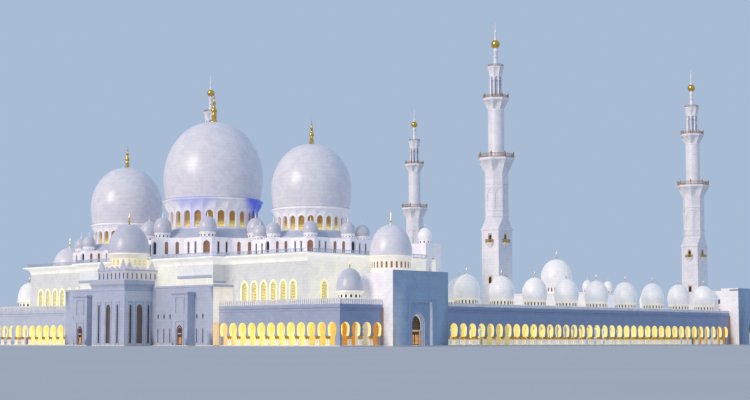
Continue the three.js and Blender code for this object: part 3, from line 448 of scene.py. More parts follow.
# Hall roof
# A flat slab behind a balustrade of slim stone posts, carried out over the walls on a deep
# coved cornice. Two square towers with small domes stand on its corners toward the court.
COVE_FOOT, COVE_TOP, COVE_OUT, COVE_STEPS = 24.5, 26.5, 1.8, 6
RAIL_TOP, RAIL_OUT, RAIL_PITCH = 28.1, 1.6, 0.62
TOWER_SIDE, TOWER_FOOT, TOWER_TOP, TOWER_CLADDING = 7.3, 20.0, 31.9, 0.03
CEILING, CORNICE_END = 25.7, -33.5
SIDE_DOME_Y, MAIN_OPENING, SIDE_OPENING = 46.64, 13.5, 9.6


def moulding(work, path, profile, closed=False, finish=0):
    """Carries a profile of (out, up) points along a plan path whose right-hand side is outside.
    finish is one finish, or one for each stretch of the path."""
    count = len(path)
    mitres = []
    for i in range(count):
        sides = []
        if closed or i > 0:
            sides.append((path[i - 1], path[i]))
        if closed or i < count - 1:
            sides.append((path[i], path[(i + 1) % count]))
        normals = []
        for (ax, ay), (bx, by) in sides:
            length = math.hypot(bx - ax, by - ay)
            normals.append(((by - ay) / length, (ax - bx) / length))
        nx, ny = sum(n[0] for n in normals), sum(n[1] for n in normals)
        mitres.append((nx * 2 / (nx * nx + ny * ny), ny * 2 / (nx * nx + ny * ny))
                      if len(normals) == 2 else (nx, ny))
    route = list(range(count)) + ([0] if closed else [])
    ups = [0.0]
    for a, b in zip(profile, profile[1:]):
        ups.append(ups[-1] + math.dist(a, b))
    points, places = [], []
    run = 0.0
    for step, i in enumerate(route):
        if step:
            run += math.dist(path[route[step - 1]], path[i])
        for (out, up), s in zip(profile, ups):
            points.append((path[i][0] + mitres[i][0] * out, path[i][1] + mitres[i][1] * out, up))
            places.append((run, s))
    rows = len(profile)
    for k in range(len(route) - 1):
        strip = slice(k * rows, (k + 2) * rows)
        work.add(points[strip], [(j, rows + j, rows + j + 1, j + 1) for j in range(rows - 1)], places[strip],
                 finish[k] if isinstance(finish, tuple) else finish)


def cove(foot, top, out, cap):
    """A coved cornice's profile: a hollow quarter curve, a fascia and a flat top."""
    turns = [math.pi / 2 * k / COVE_STEPS for k in range(COVE_STEPS + 1)]
    curve = [(out * (1 - math.cos(a)), foot + (top - foot) * math.sin(a)) for a in turns]
    return [*curve, (out + 0.15, top), (out + 0.15, cap), (-0.3, cap)]


def level(z):
    """Places a point of a flat deck or ceiling."""
    return lambda u, v, d: (u, v, z - d)


def post(work, x, y, half_x, half_y, z0, z1, finish=0):
    """A small square post, with its four sides and its top."""
    sheet(work, on_y(y - half_y, -1), x - half_x, x + half_x, z0, z1, finish)
    sheet(work, on_y(y + half_y, 1), x + half_x, x - half_x, z0, z1, finish)
    sheet(work, on_x(x + half_x, 1), y - half_y, y + half_y, z0, z1, finish)
    sheet(work, on_x(x - half_x, -1), y + half_y, y - half_y, z0, z1, finish)
    sheet(work, level(z1), x - half_x, x + half_x, y - half_y, y + half_y, finish)


def balustrade(work, path, foot, top, pitch, out=0.0, closed=False, thick=0.16, finish=0, rail=0.2):
    """Square posts at an even pitch between a foot rail and a hand rail."""
    half = thick / 2
    for low, high, wide in ((foot, foot + 0.22, half * 1.2), (top - rail, top, half * 1.5)):
        moulding(work, path, [(out - wide, low), (out + wide, low), (out + wide, high), (out - wide, high),
                              (out - wide, low)], closed, finish)
    route = path + ([path[0]] if closed else [])
    for (ax, ay), (bx, by) in zip(route, route[1:]):
        length = math.dist((ax, ay), (bx, by))
        nx, ny = (by - ay) / length, (ax - bx) / length
        number = max(1, round(length / pitch))
        for k in range(number + 1):
            t = k / number
            post(work, ax + (bx - ax) * t + nx * out, ay + (by - ay) * t + ny * out, half, half,
                 foot + 0.2, top - rail, finish)


def turn(work, centre, profile, segments, finish=0, phase=0.0, wave=None):
    """A round form from (radius, height) points. wave may change a radius by its row and segment."""
    widest = max(radius for radius, height in profile)
    ups = [0.0]
    for a, b in zip(profile, profile[1:]):
        ups.append(ups[-1] + math.dist(a, b))
    points, places = [], []
    for i in range(segments + 1):
        angle = phase + 2 * math.pi * i / segments
        for row, ((radius, height), s) in enumerate(zip(profile, ups)):
            reach = wave(radius, row, i) if wave else radius
            points.append((centre[0] + reach * math.cos(angle), centre[1] + reach * math.sin(angle), height))
            places.append((widest * (angle - phase), s))
    rows = len(profile)
    for i in range(segments):
        strip = slice(i * rows, (i + 2) * rows)
        work.add(points[strip], [(j, rows + j, rows + j + 1, j + 1) for j in range(rows - 1)],
                 places[strip], finish)


def onion(foot, radius, bottom, widest, top, rings):
    """A dome's outline: a slightly pinched foot, the widest ring, and a softly pointed crown."""
    points = []
    low_rings = max(2, rings // 4)
    for i in range(low_rings):
        t = 1 - i / low_rings
        points.append((radius - (radius - foot) * t * t, widest - (widest - bottom) * t))
    for i in range(rings + 1):
        angle = i / rings * math.pi / 2
        points.append((radius * math.cos(angle) ** 0.94 if i < rings else 0.0,
                       widest + (top - widest) * math.sin(angle) ** 1.06))
    return points


def pane_on_drum(work, centre, radius, angle, line, finish):
    """A small arched pane that lies on a round drum."""
    points = []
    for u, v in line:
        a = angle + u / radius
        points.append((centre[0] + radius * math.cos(a), centre[1] + radius * math.sin(a), v))
    work.add(points, [tuple(range(len(line)))], list(line), finish)


def small_dome(work, centre, deck, drum, radius, bottom, top, tip, windows, finishes, segments=28,
               pinch=0.9, cornice=None):
    """A small dome on its windowed drum, with a flared cornice under it. windows is (count, width,
    foot, head), finishes lists drum, shell, pane and finial, and pinch is the dome's foot over its
    widest."""
    drum_finish, shell_finish, pane_finish, gold_finish = finishes
    count, width, foot, head = windows
    rim = cornice or radius * pinch * 1.04
    turn(work, centre, [(drum, deck), (drum, head + 0.12)], segments, drum_finish)
    turn(work, centre, [(drum, head + 0.12), (rim - 0.08, bottom - 0.5), (rim, bottom - 0.4),
                        (rim, bottom - 0.16), (rim - 0.22, bottom - 0.14), (rim - 0.26, bottom),
                        (radius * pinch, bottom)], segments, drum_finish)
    widest = bottom + (top - bottom) * (0.3 if pinch < 0.93 else 0.12)
    turn(work, centre, onion(radius * pinch, radius, bottom, widest, top, 12), segments, shell_finish)
    line = arch_line(width, foot, head - width / 2, head, 2)
    for k in range(count):
        pane_on_drum(work, centre, drum + 0.03, 2 * math.pi * k / count, line, pane_finish)
    unit = radius / 4.2
    rise = tip - top
    turn(work, centre, [(0.4 * unit, top - 0.25 * unit), (0.16 * unit, top + 0.12 * rise),
                        (0.27 * unit, top + 0.28 * rise), (0.1 * unit, top + 0.42 * rise),
                        (0.17 * unit, top + 0.55 * rise), (0.07 * unit, top + 0.7 * rise), (0.0, tip)],
         8, gold_finish)


# Gilded metal: finials, balls and window frames are covered in gold leaf, which gives the eye a warm
# metal with soft highlights. The weather has made the small finials on the roof paler.
def metal(name, light, dark, roughness):
    material, tree = shaded(name)
    wear = put(tree, "ShaderNodeTexNoise", {
        "Vector": put(tree, "ShaderNodeTexCoord").outputs["Object"], "Scale": 14.0, "Detail": 4.0})
    tone = put(tree, "ShaderNodeValToRGB", {"Fac": wear.outputs["Fac"]})
    tone.color_ramp.elements[0].position = 0.35
    tone.color_ramp.elements[0].color = linear(dark)
    tone.color_ramp.elements[1].position = 0.65
    tone.color_ramp.elements[1].color = linear(light)
    rough = put(tree, "ShaderNodeMapRange", {
        "Value": wear.outputs["Fac"], "To Min": roughness - 0.06, "To Max": roughness + 0.08})
    close(tree, put(tree, "ShaderNodeBsdfPrincipled", {
        "Base Color": tone.outputs["Color"], "Metallic": 1.0,
        "Roughness": rough.outputs["Result"]}).outputs["BSDF"])
    return material


pale_gold = metal("pale_gold", "#f3ead2", "#e0d0a8", 0.34)

# The same marble in the evening's shade, as the roof's own lamps light it evenly, and with the warm
# floodlight that the cove catches
shade_marble = marble("shade_marble", "#bcc5d8", "#b7c0d4")
lit_white_marble = marble("lit_white_marble", "#f1eff2", "#edebef", glow=("#fbfaff", 0.16))
cove_marble = marble("cove_marble", "#d6d5d3", "#d3d2cf", (1.8, 8.0), glow=("#fffdf4", 0.66))

ROOF_GILT, ROOF_POSTS, ROOF_INSIDE, ROOF_COVE = 1, 4, 5, 6
roof = Masonry()
hall_front = [(CORNICE_END, HALL_HALF), (HALL_WEST, HALL_HALF), (HALL_WEST, STEP_HALF),
              (STEP_WEST, STEP_HALF), (STEP_WEST, -STEP_HALF), (HALL_WEST, -STEP_HALF),
              (HALL_WEST, -HALL_HALF), (CORNICE_END, -HALL_HALF)]
hall_back = [(HALL_EAST, -HALL_HALF + TOWER_SIDE), (HALL_EAST, HALL_HALF - TOWER_SIDE)]
for path in (hall_front, hall_back):
    moulding(roof, path, cove(COVE_FOOT, COVE_TOP, COVE_OUT, HALL_ROOF), finish=ROOF_COVE)
    balustrade(roof, path, HALL_ROOF, RAIL_TOP, RAIL_PITCH, out=RAIL_OUT, thick=0.13, finish=ROOF_POSTS,
               rail=0.14)
for height, finish in ((HALL_ROOF - 0.05, 0), (CEILING, ROOF_INSIDE)):
    deck = level(height)
    sheet(roof, deck, HALL_WEST, DOME_X - MAIN_OPENING, -HALL_HALF, HALL_HALF, finish)
    sheet(roof, deck, DOME_X + MAIN_OPENING, HALL_EAST, -HALL_HALF, HALL_HALF, finish)
    sheet(roof, deck, STEP_WEST, HALL_WEST, -STEP_HALF, STEP_HALF, finish)
    for side in (-1, 1):
        near, middle, far = side * MAIN_OPENING, side * SIDE_DOME_Y, side * HALL_HALF
        inner, outer = middle - side * SIDE_OPENING, middle + side * SIDE_OPENING
        sheet(roof, deck, DOME_X - MAIN_OPENING, DOME_X + MAIN_OPENING, near, inner, finish)
        sheet(roof, deck, DOME_X - MAIN_OPENING, DOME_X + MAIN_OPENING, outer, far, finish)
        for edge in (-1, 1):
            sheet(roof, deck, DOME_X + edge * SIDE_OPENING, DOME_X + edge * MAIN_OPENING, inner, outer,
                  finish)
tower_west = HALL_EAST - TOWER_SIDE
tower_window = arch_line(2.0, 21.6, 26.4, 27.6)
for side in (-1, 1):
    near, far = side * HALL_HALF, side * (HALL_HALF - TOWER_SIDE)
    low, high = sorted((near, far))
    middle_x, middle_y = HALL_EAST - TOWER_SIDE / 2, (near + far) / 2
    pierced_wall(roof, on_y(near + side * TOWER_CLADDING, side), tower_west, HALL_EAST, TOWER_FOOT, TOWER_TOP,
                 [(middle_x, 4.0, tower_window, DIM)], 0.9)
    sheet(roof, on_y(far, -side), tower_west, HALL_EAST, HALL_ROOF - 0.1, TOWER_TOP)
    pierced_wall(roof, on_x(HALL_EAST + TOWER_CLADDING, 1), low, high, TOWER_FOOT, TOWER_TOP,
                 [(middle_y, 4.0, tower_window, DIM)], 0.9)
    sheet(roof, on_x(tower_west, -1), low, high, HALL_ROOF - 0.1, TOWER_TOP)
    sheet(roof, level(TOWER_TOP), tower_west, HALL_EAST, low, high)
    small_dome(roof, (middle_x, middle_y), TOWER_TOP, 2.1, 2.25, 33.4, 37.0, 38.4, (10, 0.35, 32.2, 32.8),
               (0, 0, DARK, ROOF_GILT))
build("hall_roof_finish", roof, [lit_white_marble, pale_gold, dim_lattice, dark_glass, shade_marble,
                                 inside_marble, cove_marble], replaces=("hall_roof",))


# Big domes
# Three bulbous shells of white marble, each on a drum with twenty-four arched windows, a slope
# of grey lead, and a star-shaped clerestory whose eight points are turrets with small domes.
EIGHTH = math.pi / 4
DRUM_WINDOWS = 24
TURRET_SHELL, SLOPE_LEAD, DRUM_GLASS = 4, 1, 2
MAIN = dict(y=0.0, reach=24.3, front=1.7, front_window=(2.1, 28.9, 33.1), star_windows=(9.78, 13.18),
            star_window=(1.1, 28.9, 33.0), corner=21.0, ring_top=34.2, slope_top=37.5, drum=14.8,
            cornice=16.3, bottom=47.7, radius=16.4, widest=55.2, top=73.9, tip=84.6,
            window=(2.4, 38.1, 43.5), small=(2.9, 35.9, 40.9))
SIDE = dict(y=-SIDE_DOME_Y, reach=18.3, front=1.3, front_window=(1.73, 27.9, 31.5),
            star_windows=(7.35, 9.92), star_window=(0.85, 27.9, 31.4), corner=15.8, ring_top=32.4,
            slope_top=34.8, drum=11.2, cornice=12.1, bottom=42.2, radius=12.45, widest=48.5, top=62.4,
            tip=70.5, window=(2.0, 35.0, 39.4), small=(2.3, 33.7, 37.3))

# Marble cut to the domes' curve, whose polish gives the eye a soft highlight, with a faint glow of
# painted floodlight, and a darker blue-grey copy of it that paints dusk shade on the smaller domes;
# sheet lead laid in long strips with rolled seams, a duller blue-grey, and fresh gold leaf, a bright
# deep yellow
LARGE_SLAB, LEAD_SHEET = (2.4, 1.2), (1.2, 8.0)
dome_marble = marble("dome_marble", "#e4e3ea", "#e1e0e8", LARGE_SLAB, roughness=0.3, glow=("#ffffff", 0.04))
dusk_shade_marble = marble("dusk_shade_marble", "#d0d3de", "#cdd0dc", LARGE_SLAB, roughness=0.3)
lead = marble("lead", "#c4cbdc", "#bdc5d7", LEAD_SHEET, roughness=0.5)
gold_leaf = metal("gold_leaf", "#f2cc6a", "#dba94a", 0.24)


def on_drum(centre, radius):
    """Places a point of a round wall: u along its arc from the +X side, v up, d inward."""
    def place(u, v, d):
        angle = u / radius
        return (centre[0] + (radius - d) * math.cos(angle), centre[1] + (radius - d) * math.sin(angle), v)
    return place


def on_side(centre, angle, reach):
    """Places a point of a flat side that faces away from centre at an angle."""
    out, along = (math.cos(angle), math.sin(angle)), (-math.sin(angle), math.cos(angle))
    return lambda u, v, d: (centre[0] + out[0] * (reach - d) + along[0] * u,
                            centre[1] + out[1] * (reach - d) + along[1] * u, v)


def arched_panel(work, place, middle, width, foot, head, line, depth, pane):
    """A stretch of bent wall with one arched opening, cut into upright strips that follow the bend."""
    u0, u1 = middle - width / 2, middle + width / 2
    rim = [(middle + u, v) for u, v in line[1:-1]]
    for a, b in ((u0, rim[0][0]), (rim[-1][0], u1)):
        sheet(work, place, a, b, foot, head)
    for (a, high), (b, next_high) in zip(rim, rim[1:]):
        corners = [(a, high), (b, next_high), (b, head), (a, head)]
        work.add([place(u, v, 0) for u, v in corners], [(0, 1, 2, 3)], corners)
    sheet(work, place, rim[0][0], rim[-1][0], foot, line[0][1])
    opening_sides(work, place, middle, line, True, depth, 0, pane)


def clerestory(work, d):
    """The star-shaped ring: each of its eight points is a turret with a flat front and one wide
    window, and two slim windows in each slanting side. Small domes stand on the points."""
    centre = (DOME_X, d["y"])
    width, foot, head = d["front_window"]
    slim, slim_foot, slim_head = d["star_window"]
    half, reach, top = d["front"], d["reach"], d["ring_top"]
    wide_line = arch_line(width, foot, head - width / 2, head, 4)
    slim_line = arch_line(slim, slim_foot, slim_head - slim / 2, slim_head, 3)
    slant = (reach + half) / math.sqrt(2)
    notch, tip = slant * math.tan(EIGHTH / 2), (reach - half) / math.sqrt(2)
    outline = []
    for k in range(8):
        turned = k * EIGHTH
        # The windows are all alike: those in faces that look along the plan's axes get dark panes, painted
        # shade for their deep reveals seen obliquely, and those in diagonal faces show their dim lattice
        pierced_wall(work, on_side(centre, turned, reach), -half, half, HALL_ROOF, top,
                     [(0.0, 2 * half, wide_line, DIM if k % 2 else DARK)], 0.7)
        for sign in (-1, 1):
            pane = DARK if (k - sign) % 2 == 0 else DIM
            panes = [(sign * u, slim * 1.7, slim_line, pane) for u in d["star_windows"]]
            low, high = sorted((sign * notch, sign * tip))
            pierced_wall(work, on_side(centre, turned - sign * EIGHTH, slant), low, high, HALL_ROOF, top,
                         panes, 0.6)
        for across in (half, -half):
            outline.append(on_side(centre, turned, reach)(across, 0, 0)[:2])
        outline.append((centre[0] + slant / math.cos(EIGHTH / 2) * math.cos(turned - EIGHTH / 2),
                        centre[1] + slant / math.cos(EIGHTH / 2) * math.sin(turned - EIGHTH / 2)))
        corner = (centre[0] + d["corner"] * math.cos(turned), centre[1] + d["corner"] * math.sin(turned))
        small, small_foot, small_top = d["small"]
        small_dome(work, corner, top, small * 0.86, small, small_foot, small_top, small_top + 2.0,
                   (12, 0.4, top + 0.3, small_foot - 0.75), (0, TURRET_SHELL, DARK, 0), 24)
    moulding(work, outline, [(0, top - 0.45), (0.22, top - 0.3), (0.22, top), (-0.4, top)], True)
    deck = [(x, y, top - 0.02) for x, y in outline]
    hub = [(centre[0], centre[1], top - 0.02)]
    work.add(hub + deck, [(0, 1 + i, 1 + (i + 1) % 24) for i in range(24)], [(0, 0)] * 25)


def drum(work, d):
    """The slope, the windowed wall, and the scalloped flare that carries the dome."""
    centre = (DOME_X, d["y"])
    width, foot, head = d["window"]
    edge = (d["reach"] + d["front"]) / math.sqrt(2) / math.cos(EIGHTH / 2) - 0.8
    turn(work, centre, [(edge, d["ring_top"]), (edge, d["ring_top"] + 0.3),
                        (d["drum"] + 0.5, d["slope_top"]), (d["drum"] - 1.1, d["slope_top"])],
         2 * DRUM_WINDOWS, SLOPE_LEAD, EIGHTH / 6)
    stretch = 2 * math.pi * d["drum"] / DRUM_WINDOWS
    line = arch_line(width, foot, head - width / 2, head, 5, 0.1)
    for k in range(DRUM_WINDOWS):
        arched_panel(work, on_drum(centre, d["drum"]), k * stretch, stretch, d["slope_top"] - 0.3,
                     head + 0.3, line, 1.0, DRUM_GLASS)
    rows = 9
    low, high = head + 0.3, d["bottom"] - 0.9
    flare = [(d["drum"] + (d["cornice"] - d["drum"]) * (j / rows) ** 1.6, low + (high - low) * j / rows)
             for j in range(rows + 1)]

    def scallop(_, row, i):
        across = abs(((i % 8) - 4) / 4)
        return d["drum"] + (d["cornice"] - d["drum"]) * (row / rows) ** (2.6 - 1.9 * across)

    turn(work, centre, flare, DRUM_WINDOWS * 8, 0, math.pi / DRUM_WINDOWS, wave=scallop)
    rim = d["cornice"]
    turn(work, centre, [(rim, high), (rim + 0.15, high + 0.1), (rim + 0.15, high + 0.45),
                        (rim - 0.3, high + 0.55), (d["radius"] * 0.93, d["bottom"])], 4 * DRUM_WINDOWS)


def dome_shell(work, d):
    """The marble shell on the drum."""
    outline = onion(d["radius"] * 0.945, d["radius"], d["bottom"], d["widest"], d["top"], 28)
    turn(work, (DOME_X, d["y"]), outline, 4 * DRUM_WINDOWS)


def finial(work, d):
    """A turned and gilded finial: a flared foot, three bulbs and a spire."""
    unit, foot = d["radius"] / MAIN["radius"], d["top"] - 0.5
    span = d["tip"] - foot
    profile = [(1.55, 0.0), (1.5, 0.05), (1.0, 0.09), (0.75, 0.17), (1.0, 0.2), (0.72, 0.24), (0.55, 0.32),
               (0.95, 0.38), (0.95, 0.42), (0.5, 0.48), (0.38, 0.56), (0.66, 0.61), (0.3, 0.67), (0.2, 0.74),
               (0.34, 0.77), (0.14, 0.81), (0.0, 1.0)]
    turn(work, (DOME_X, d["y"]), [(radius * unit, foot + span * t) for radius, t in profile], 20)


# The drums are of the same marble under the lamps of the roof. The light of blue and lavender lamps
# is painted into the main one's colour at its two ends, one toward each side of the front. The glass
# is bright at the windows' feet, where the lamps stand, and brown above: painted lamplight.
hub_x = at(DOME_X, 0, 0)[0]
painted_lamp_spots = []
for tint, degrees, near, far in (("#5f78ee", 301, 1.28, 1.52), ("#c3c9f4", 205, 1.3, 1.6)):
    toward = (math.cos(math.radians(degrees)), math.sin(math.radians(degrees)))
    painted_lamp_spots.append((tint, toward, near + hub_x * toward[0], far + hub_x * toward[0]))
drum_marble = marble("drum_marble", "#f1eff2", "#edebef", glow=("#fbfaff", 0.12), patches=painted_lamp_spots)
drum_glass = lattice_glass("drum_glass", "#ffec90", 1.2, "#8a6c34", bar=0.06, fade=(38.5, 40.6, "#7c5a28"))
side_drum_glass = lattice_glass("side_drum_glass", "#ffec90", 1.2, "#8a6c34", bar=0.06,
                                fade=(35.4, 37.4, "#7c5a28"))


def build_pair(name, work, finishes, replaces=(), moving=False):
    """The south piece and its mirrored north twin. A # stands for the side in each name, and a
    moving piece rides on the body of the node that it replaces."""
    for side, flip in (("south", False), ("north", True)):
        nodes = [node.replace("#", side) for node in replaces]
        build(name.replace("#", side), work, finishes, nodes,
              body=nodes[0] if moving else "building", flip=flip)


for d in (MAIN, SIDE):
    ring, wall, shell, spire = Masonry(), Masonry(), Masonry(), Masonry()
    clerestory(ring, d)
    drum(wall, d)
    dome_shell(shell, d)
    finial(spire, d)
    ring_finishes = [lit_white_marble, lit_lattice, dim_lattice, dark_glass, dusk_shade_marble]
    if d is MAIN:
        build("main_clerestory_finish", ring, ring_finishes, replaces=("main_clerestory",))
        build("main_drum_finish", wall, [drum_marble, lead, drum_glass], replaces=("main_drum",))
        build("main_dome_shell", shell, [dome_marble], replaces=("main_dome",))
        build("main_finial", spire, [gold_leaf])
    else:
        build_pair("#_clerestory_finish", ring, ring_finishes, replaces=("#_clerestory",))
        build_pair("#_drum_finish", wall, [lit_white_marble, lead, side_drum_glass], replaces=("#_drum",))
        build_pair("#_dome_shell", shell, [dome_marble], replaces=("#_dome",))
        build_pair("#_finial", spire, [gold_leaf])


# Front mass
# A lower block of white marble against the stepped wall, painted grey-blue for the shade that it
# stands in, with slits and small windows, and a door box on each side whose bronze door stands under
# a blind arch.
MASS_WEST, MASS_HALF, MASS_TOP = -90.9, 37.4, 18.3
BAY_HALF = 8.2
BOX_WEST, BOX_HALF, BOX_TOP, BOX_WALL = -93.7, 3.6, 16.2, 0.6
SLIT_YS, SLIT_STRETCH, SLIT_BAND_TOP = (11.4, 14.3, 17.2, 29.9, 32.7), 1.0, 6.8
WARM_FOOT_TOP, BOX_HEAD = 7.0, 3.75
BRONZE, MASS_SIDE, WARM_FOOT = 4, 5, 6


def raised_frame(work, place, middle, foot, width, head, band, proud, finish=0):
    """A flat band of stone that stands proud of a wall round three sides of a rectangle."""
    half = width / 2
    outer = [(-half - band, foot), (-half - band, head + band), (half + band, head + band),
             (half + band, foot)]
    inner = [(-half, foot), (-half, head), (half, head), (half, foot)]
    points = [place(middle + u, v, -proud) for u, v in outer + inner]
    points += [place(middle + u, v, 0) for u, v in outer + inner]
    faces = []
    for i in range(3):
        faces += [(i, i + 1, i + 5, i + 4), (i, i + 1, i + 9, i + 8), (i + 4, i + 5, i + 13, i + 12)]
    work.add(points, faces, outer + inner + outer + inner, finish)


mass = Masonry()
slit = door_line(0.45, SLAB_TOP + 0.6, 5.3)
small = arch_line(0.6, 8.3, 9.4, 9.7, 2)
box_low, box_high = -BOX_MIDDLE - BOX_HALF, -BOX_MIDDLE + BOX_HALF
for u0, u1 in ((-MASS_HALF, box_low), (box_high, -BAY_HALF)):
    for line, foot, head in ((slit, SLAB_TOP, SLIT_BAND_TOP), (small, SLIT_BAND_TOP, MASS_TOP)):
        holes = [(-y, SLIT_STRETCH, line, DARK) for y in SLIT_YS if u0 < -y < u1]
        pierced_wall(mass, on_x(MASS_WEST, -1), u0, u1, foot, head, holes, BOX_WALL)
    sheet(mass, on_x(MASS_WEST + BOX_WALL, 1), u0, u1, SLAB_TOP, MASS_TOP)
sheet(mass, on_x(MASS_WEST, -1), box_low, box_high, BOX_TOP, MASS_TOP)
sheet(mass, on_y(-MASS_HALF, -1), MASS_WEST, HALL_WEST, WARM_FOOT_TOP, MASS_TOP, MASS_SIDE)
sheet(mass, on_y(-MASS_HALF, -1), MASS_WEST, HALL_WEST, SLAB_TOP, WARM_FOOT_TOP, WARM_FOOT)
sheet(mass, level(MASS_TOP), MASS_WEST, STEP_WEST, -MASS_HALF, -BAY_HALF)
sheet(mass, level(MASS_TOP), STEP_WEST, HALL_WEST, -MASS_HALF, -STEP_HALF)
sheet(mass, on_y(-BAY_HALF, 1), MASS_WEST, STEP_WEST, SLAB_TOP, MASS_TOP)
moulding(mass, [(MASS_WEST, -BAY_HALF - 0.8), (MASS_WEST, -MASS_HALF), (HALL_WEST, -MASS_HALF)],
         [(0, MASS_TOP - 0.7), (0.14, MASS_TOP - 0.6), (0.14, MASS_TOP), (-0.5, MASS_TOP)])
box_face = on_x(BOX_WEST, -1)
pierced_wall(mass, box_face, box_low, box_high, SLAB_TOP, BOX_HEAD,
             [(-BOX_MIDDLE, LOBBY_STRETCH, lobby_way, None)], BOX_WALL)
blind_arch = arch_line(BOX_DOOR_WIDTH, 3.9, 4.8, 5.7, 5)
pierced_wall(mass, box_face, box_low, box_high, BOX_HEAD, BOX_TOP,
             [(-BOX_MIDDLE, LOBBY_STRETCH, blind_arch, BRONZE)], 0.3)
for side in (box_low, box_high):
    out = -1 if side == box_low else 1
    sheet(mass, on_y(side, out), BOX_WEST, MASS_WEST, SLAB_TOP, BOX_TOP)
    sheet(mass, on_y(side - out * BOX_WALL, -out), BOX_WEST, MASS_WEST, SLAB_TOP, BOX_TOP)
sheet(mass, level(BOX_TOP), BOX_WEST, MASS_WEST, box_low, box_high)
sheet(mass, on_x(BOX_WEST + BOX_WALL, 1), box_low, box_high, 3.7, BOX_TOP)
moulding(mass, [(MASS_WEST, box_high), (BOX_WEST, box_high), (BOX_WEST, box_low), (MASS_WEST, box_low)],
         [(0, BOX_TOP - 0.9), (0.45, BOX_TOP - 0.35), (0.45, BOX_TOP), (-0.6, BOX_TOP)])
raised_frame(mass, box_face, -BOX_MIDDLE, 9.9, 3.6, 14.6, 0.3, 0.2)
raised_frame(mass, box_face, -BOX_MIDDLE, SLAB_TOP, 3.4, 7.4, 0.35, 0.2)
arch_band(mass, box_face, -BOX_MIDDLE, arch_line(2.0, SLAB_TOP, 4.9, 5.95, 5),
          arch_line(2.5, SLAB_TOP, 5.0, 6.3, 5), BRONZE, 0.12)

# Door bronze: cast and rubbed, which gives the eye a brown metal with a worn sheen. The mass's short
# sides stand in the floodlight, which is warm at their foot.
door_bronze = metal("door_bronze", "#a5714b", "#7c5236", 0.42)
mass_side_marble = marble("mass_side_marble", "#aaa8a4", "#a8a6a1", glow=("#fff8f0", 1.65))
warm_side_marble = marble("warm_side_marble", "#c8b8a4", "#c5b4a0", glow=("#ffe2b8", 1.05))
build_pair("#_front_mass_finish", mass, [shade_marble, lit_lattice, dim_lattice, dark_glass, door_bronze,
                                         mass_side_marble, warm_side_marble], replaces=("#_front_mass",))


# Doors
# The two door boxes have a single leaf and the two portals a pair. Each leaf is a bronze frame
# round tall strips of amber glass lit from inside, and turns on a pin set in floor and lintel.
LEAF_THICK, LEAF_GAP, LEAF_MEETING = 0.16, 0.09, 0.03
PIVOT_INSET, PIVOT_RADIUS = 0.17, 0.06
PORTAL_DOOR_WIDTH, PORTAL_DOOR_TOP, LEAF_Y = 4.2, 4.35, -89.3

amber_glass = lattice_glass("amber_glass", "#ffc27a", 0.9, "#8a5a34", cell=0.6, bar=0.03)


def block(work, low, high, finish=0):
    """A squared piece with all six sides."""
    (x0, y0, z0), (x1, y1, z1) = low, high
    post(work, (x0 + x1) / 2, (y0 + y1) / 2, (x1 - x0) / 2, (y1 - y0) / 2, z0, z1, finish)
    sheet(work, level(z0), x0, x1, y0, y1, finish)


def door_leaf(work, width, top, strips):
    """A leaf drawn from its pivot along +X: sheet, stiles and rails, glass strips and the pin."""
    heel, toe, sill, head = LEAF_GAP - PIVOT_INSET, width, SLAB_TOP + LEAF_GAP, top - LEAF_GAP
    half, stile = LEAF_THICK / 2, 0.12
    lock_rail = sill + (head - sill) * 0.78
    block(work, (heel, -half * 0.5, sill), (toe, half * 0.5, head))
    for x in (heel, toe - stile):
        block(work, (x, -half, sill), (x + stile, half, head))
    for z in (sill, lock_rail, head - stile):
        block(work, (heel + stile, -half, z), (toe - stile, half, z + stile))
    pitch = (toe - heel - 2 * stile) / strips
    for k in range(strips):
        middle = heel + stile + (k + 0.5) * pitch
        block(work, (middle - pitch * 0.3, -half * 0.8, sill + 2 * stile),
              (middle + pitch * 0.3, half * 0.8, lock_rail - stile), 1)
        block(work, (middle - pitch * 0.3, -half * 0.8, lock_rail + 2 * stile),
              (middle + pitch * 0.3, half * 0.8, head - 2 * stile))
        if k:
            block(work, (middle - pitch / 2 - 0.03, -half, sill + stile),
                  (middle - pitch / 2 + 0.03, half, lock_rail))
    turn(work, (0.0, 0.0), [(0.0, SLAB_TOP + 0.01), (PIVOT_RADIUS, SLAB_TOP + 0.01),
                            (PIVOT_RADIUS, top - 0.01), (0.0, top - 0.01)], 16)


def hung(leaf, x, y, angle):
    """The leaf's faces turned by an angle about its pivot and set in its doorway."""
    cos, sin = math.cos(angle), math.sin(angle)
    leaf.points = [(x + a * cos - b * sin, y + a * sin + b * cos, z) for a, b, z in leaf.points]
    return leaf


box_leaf = Masonry()
door_leaf(box_leaf, BOX_DOOR_WIDTH - PIVOT_INSET - LEAF_GAP, BOX_DOOR_TOP, 3)
box_pivot_y = -BOX_MIDDLE - BOX_DOOR_WIDTH / 2 + PIVOT_INSET
build_pair("#_box_door_leaf", hung(box_leaf, BOX_WEST + BOX_WALL / 2, box_pivot_y, math.pi / 2),
           [door_bronze, amber_glass], ("#_box_door",), moving=True)
pivot_reach = PORTAL_DOOR_WIDTH / 2 - PIVOT_INSET
for which, side, angle in (("west", -1, 0.0), ("east", 1, math.pi)):
    portal_leaf = Masonry()
    door_leaf(portal_leaf, pivot_reach - LEAF_MEETING, PORTAL_DOOR_TOP, 3)
    build_pair("#_door_%s_leaf_finish" % which, hung(portal_leaf, DOME_X + side * pivot_reach, LEAF_Y, angle),
               [door_bronze, amber_glass], ("#_door_%s_leaf" % which,), moving=True)


# Bay on the axis
# A block of white marble, its front painted grey-blue for its shade and its sides paler for the
# light on them, with tall bronze-framed windows, a parapet that flares out over them, a crown of
# slits and leaf-shaped merlons, and a low round dome with a gilded finial.
BAY_TOP, BAY_WALL, PARAPET_TOP, CROWN_TOP = 17.4, 1.2, 20.1, 23.4
BAY_WEST, BAY_WINDOW_TOP = -101.4, 12.8
BAY_END = MASS_WEST + 0.6
BAY_GLASS, BAY_BRONZE, BAY_SIDE = 1, 2, 3

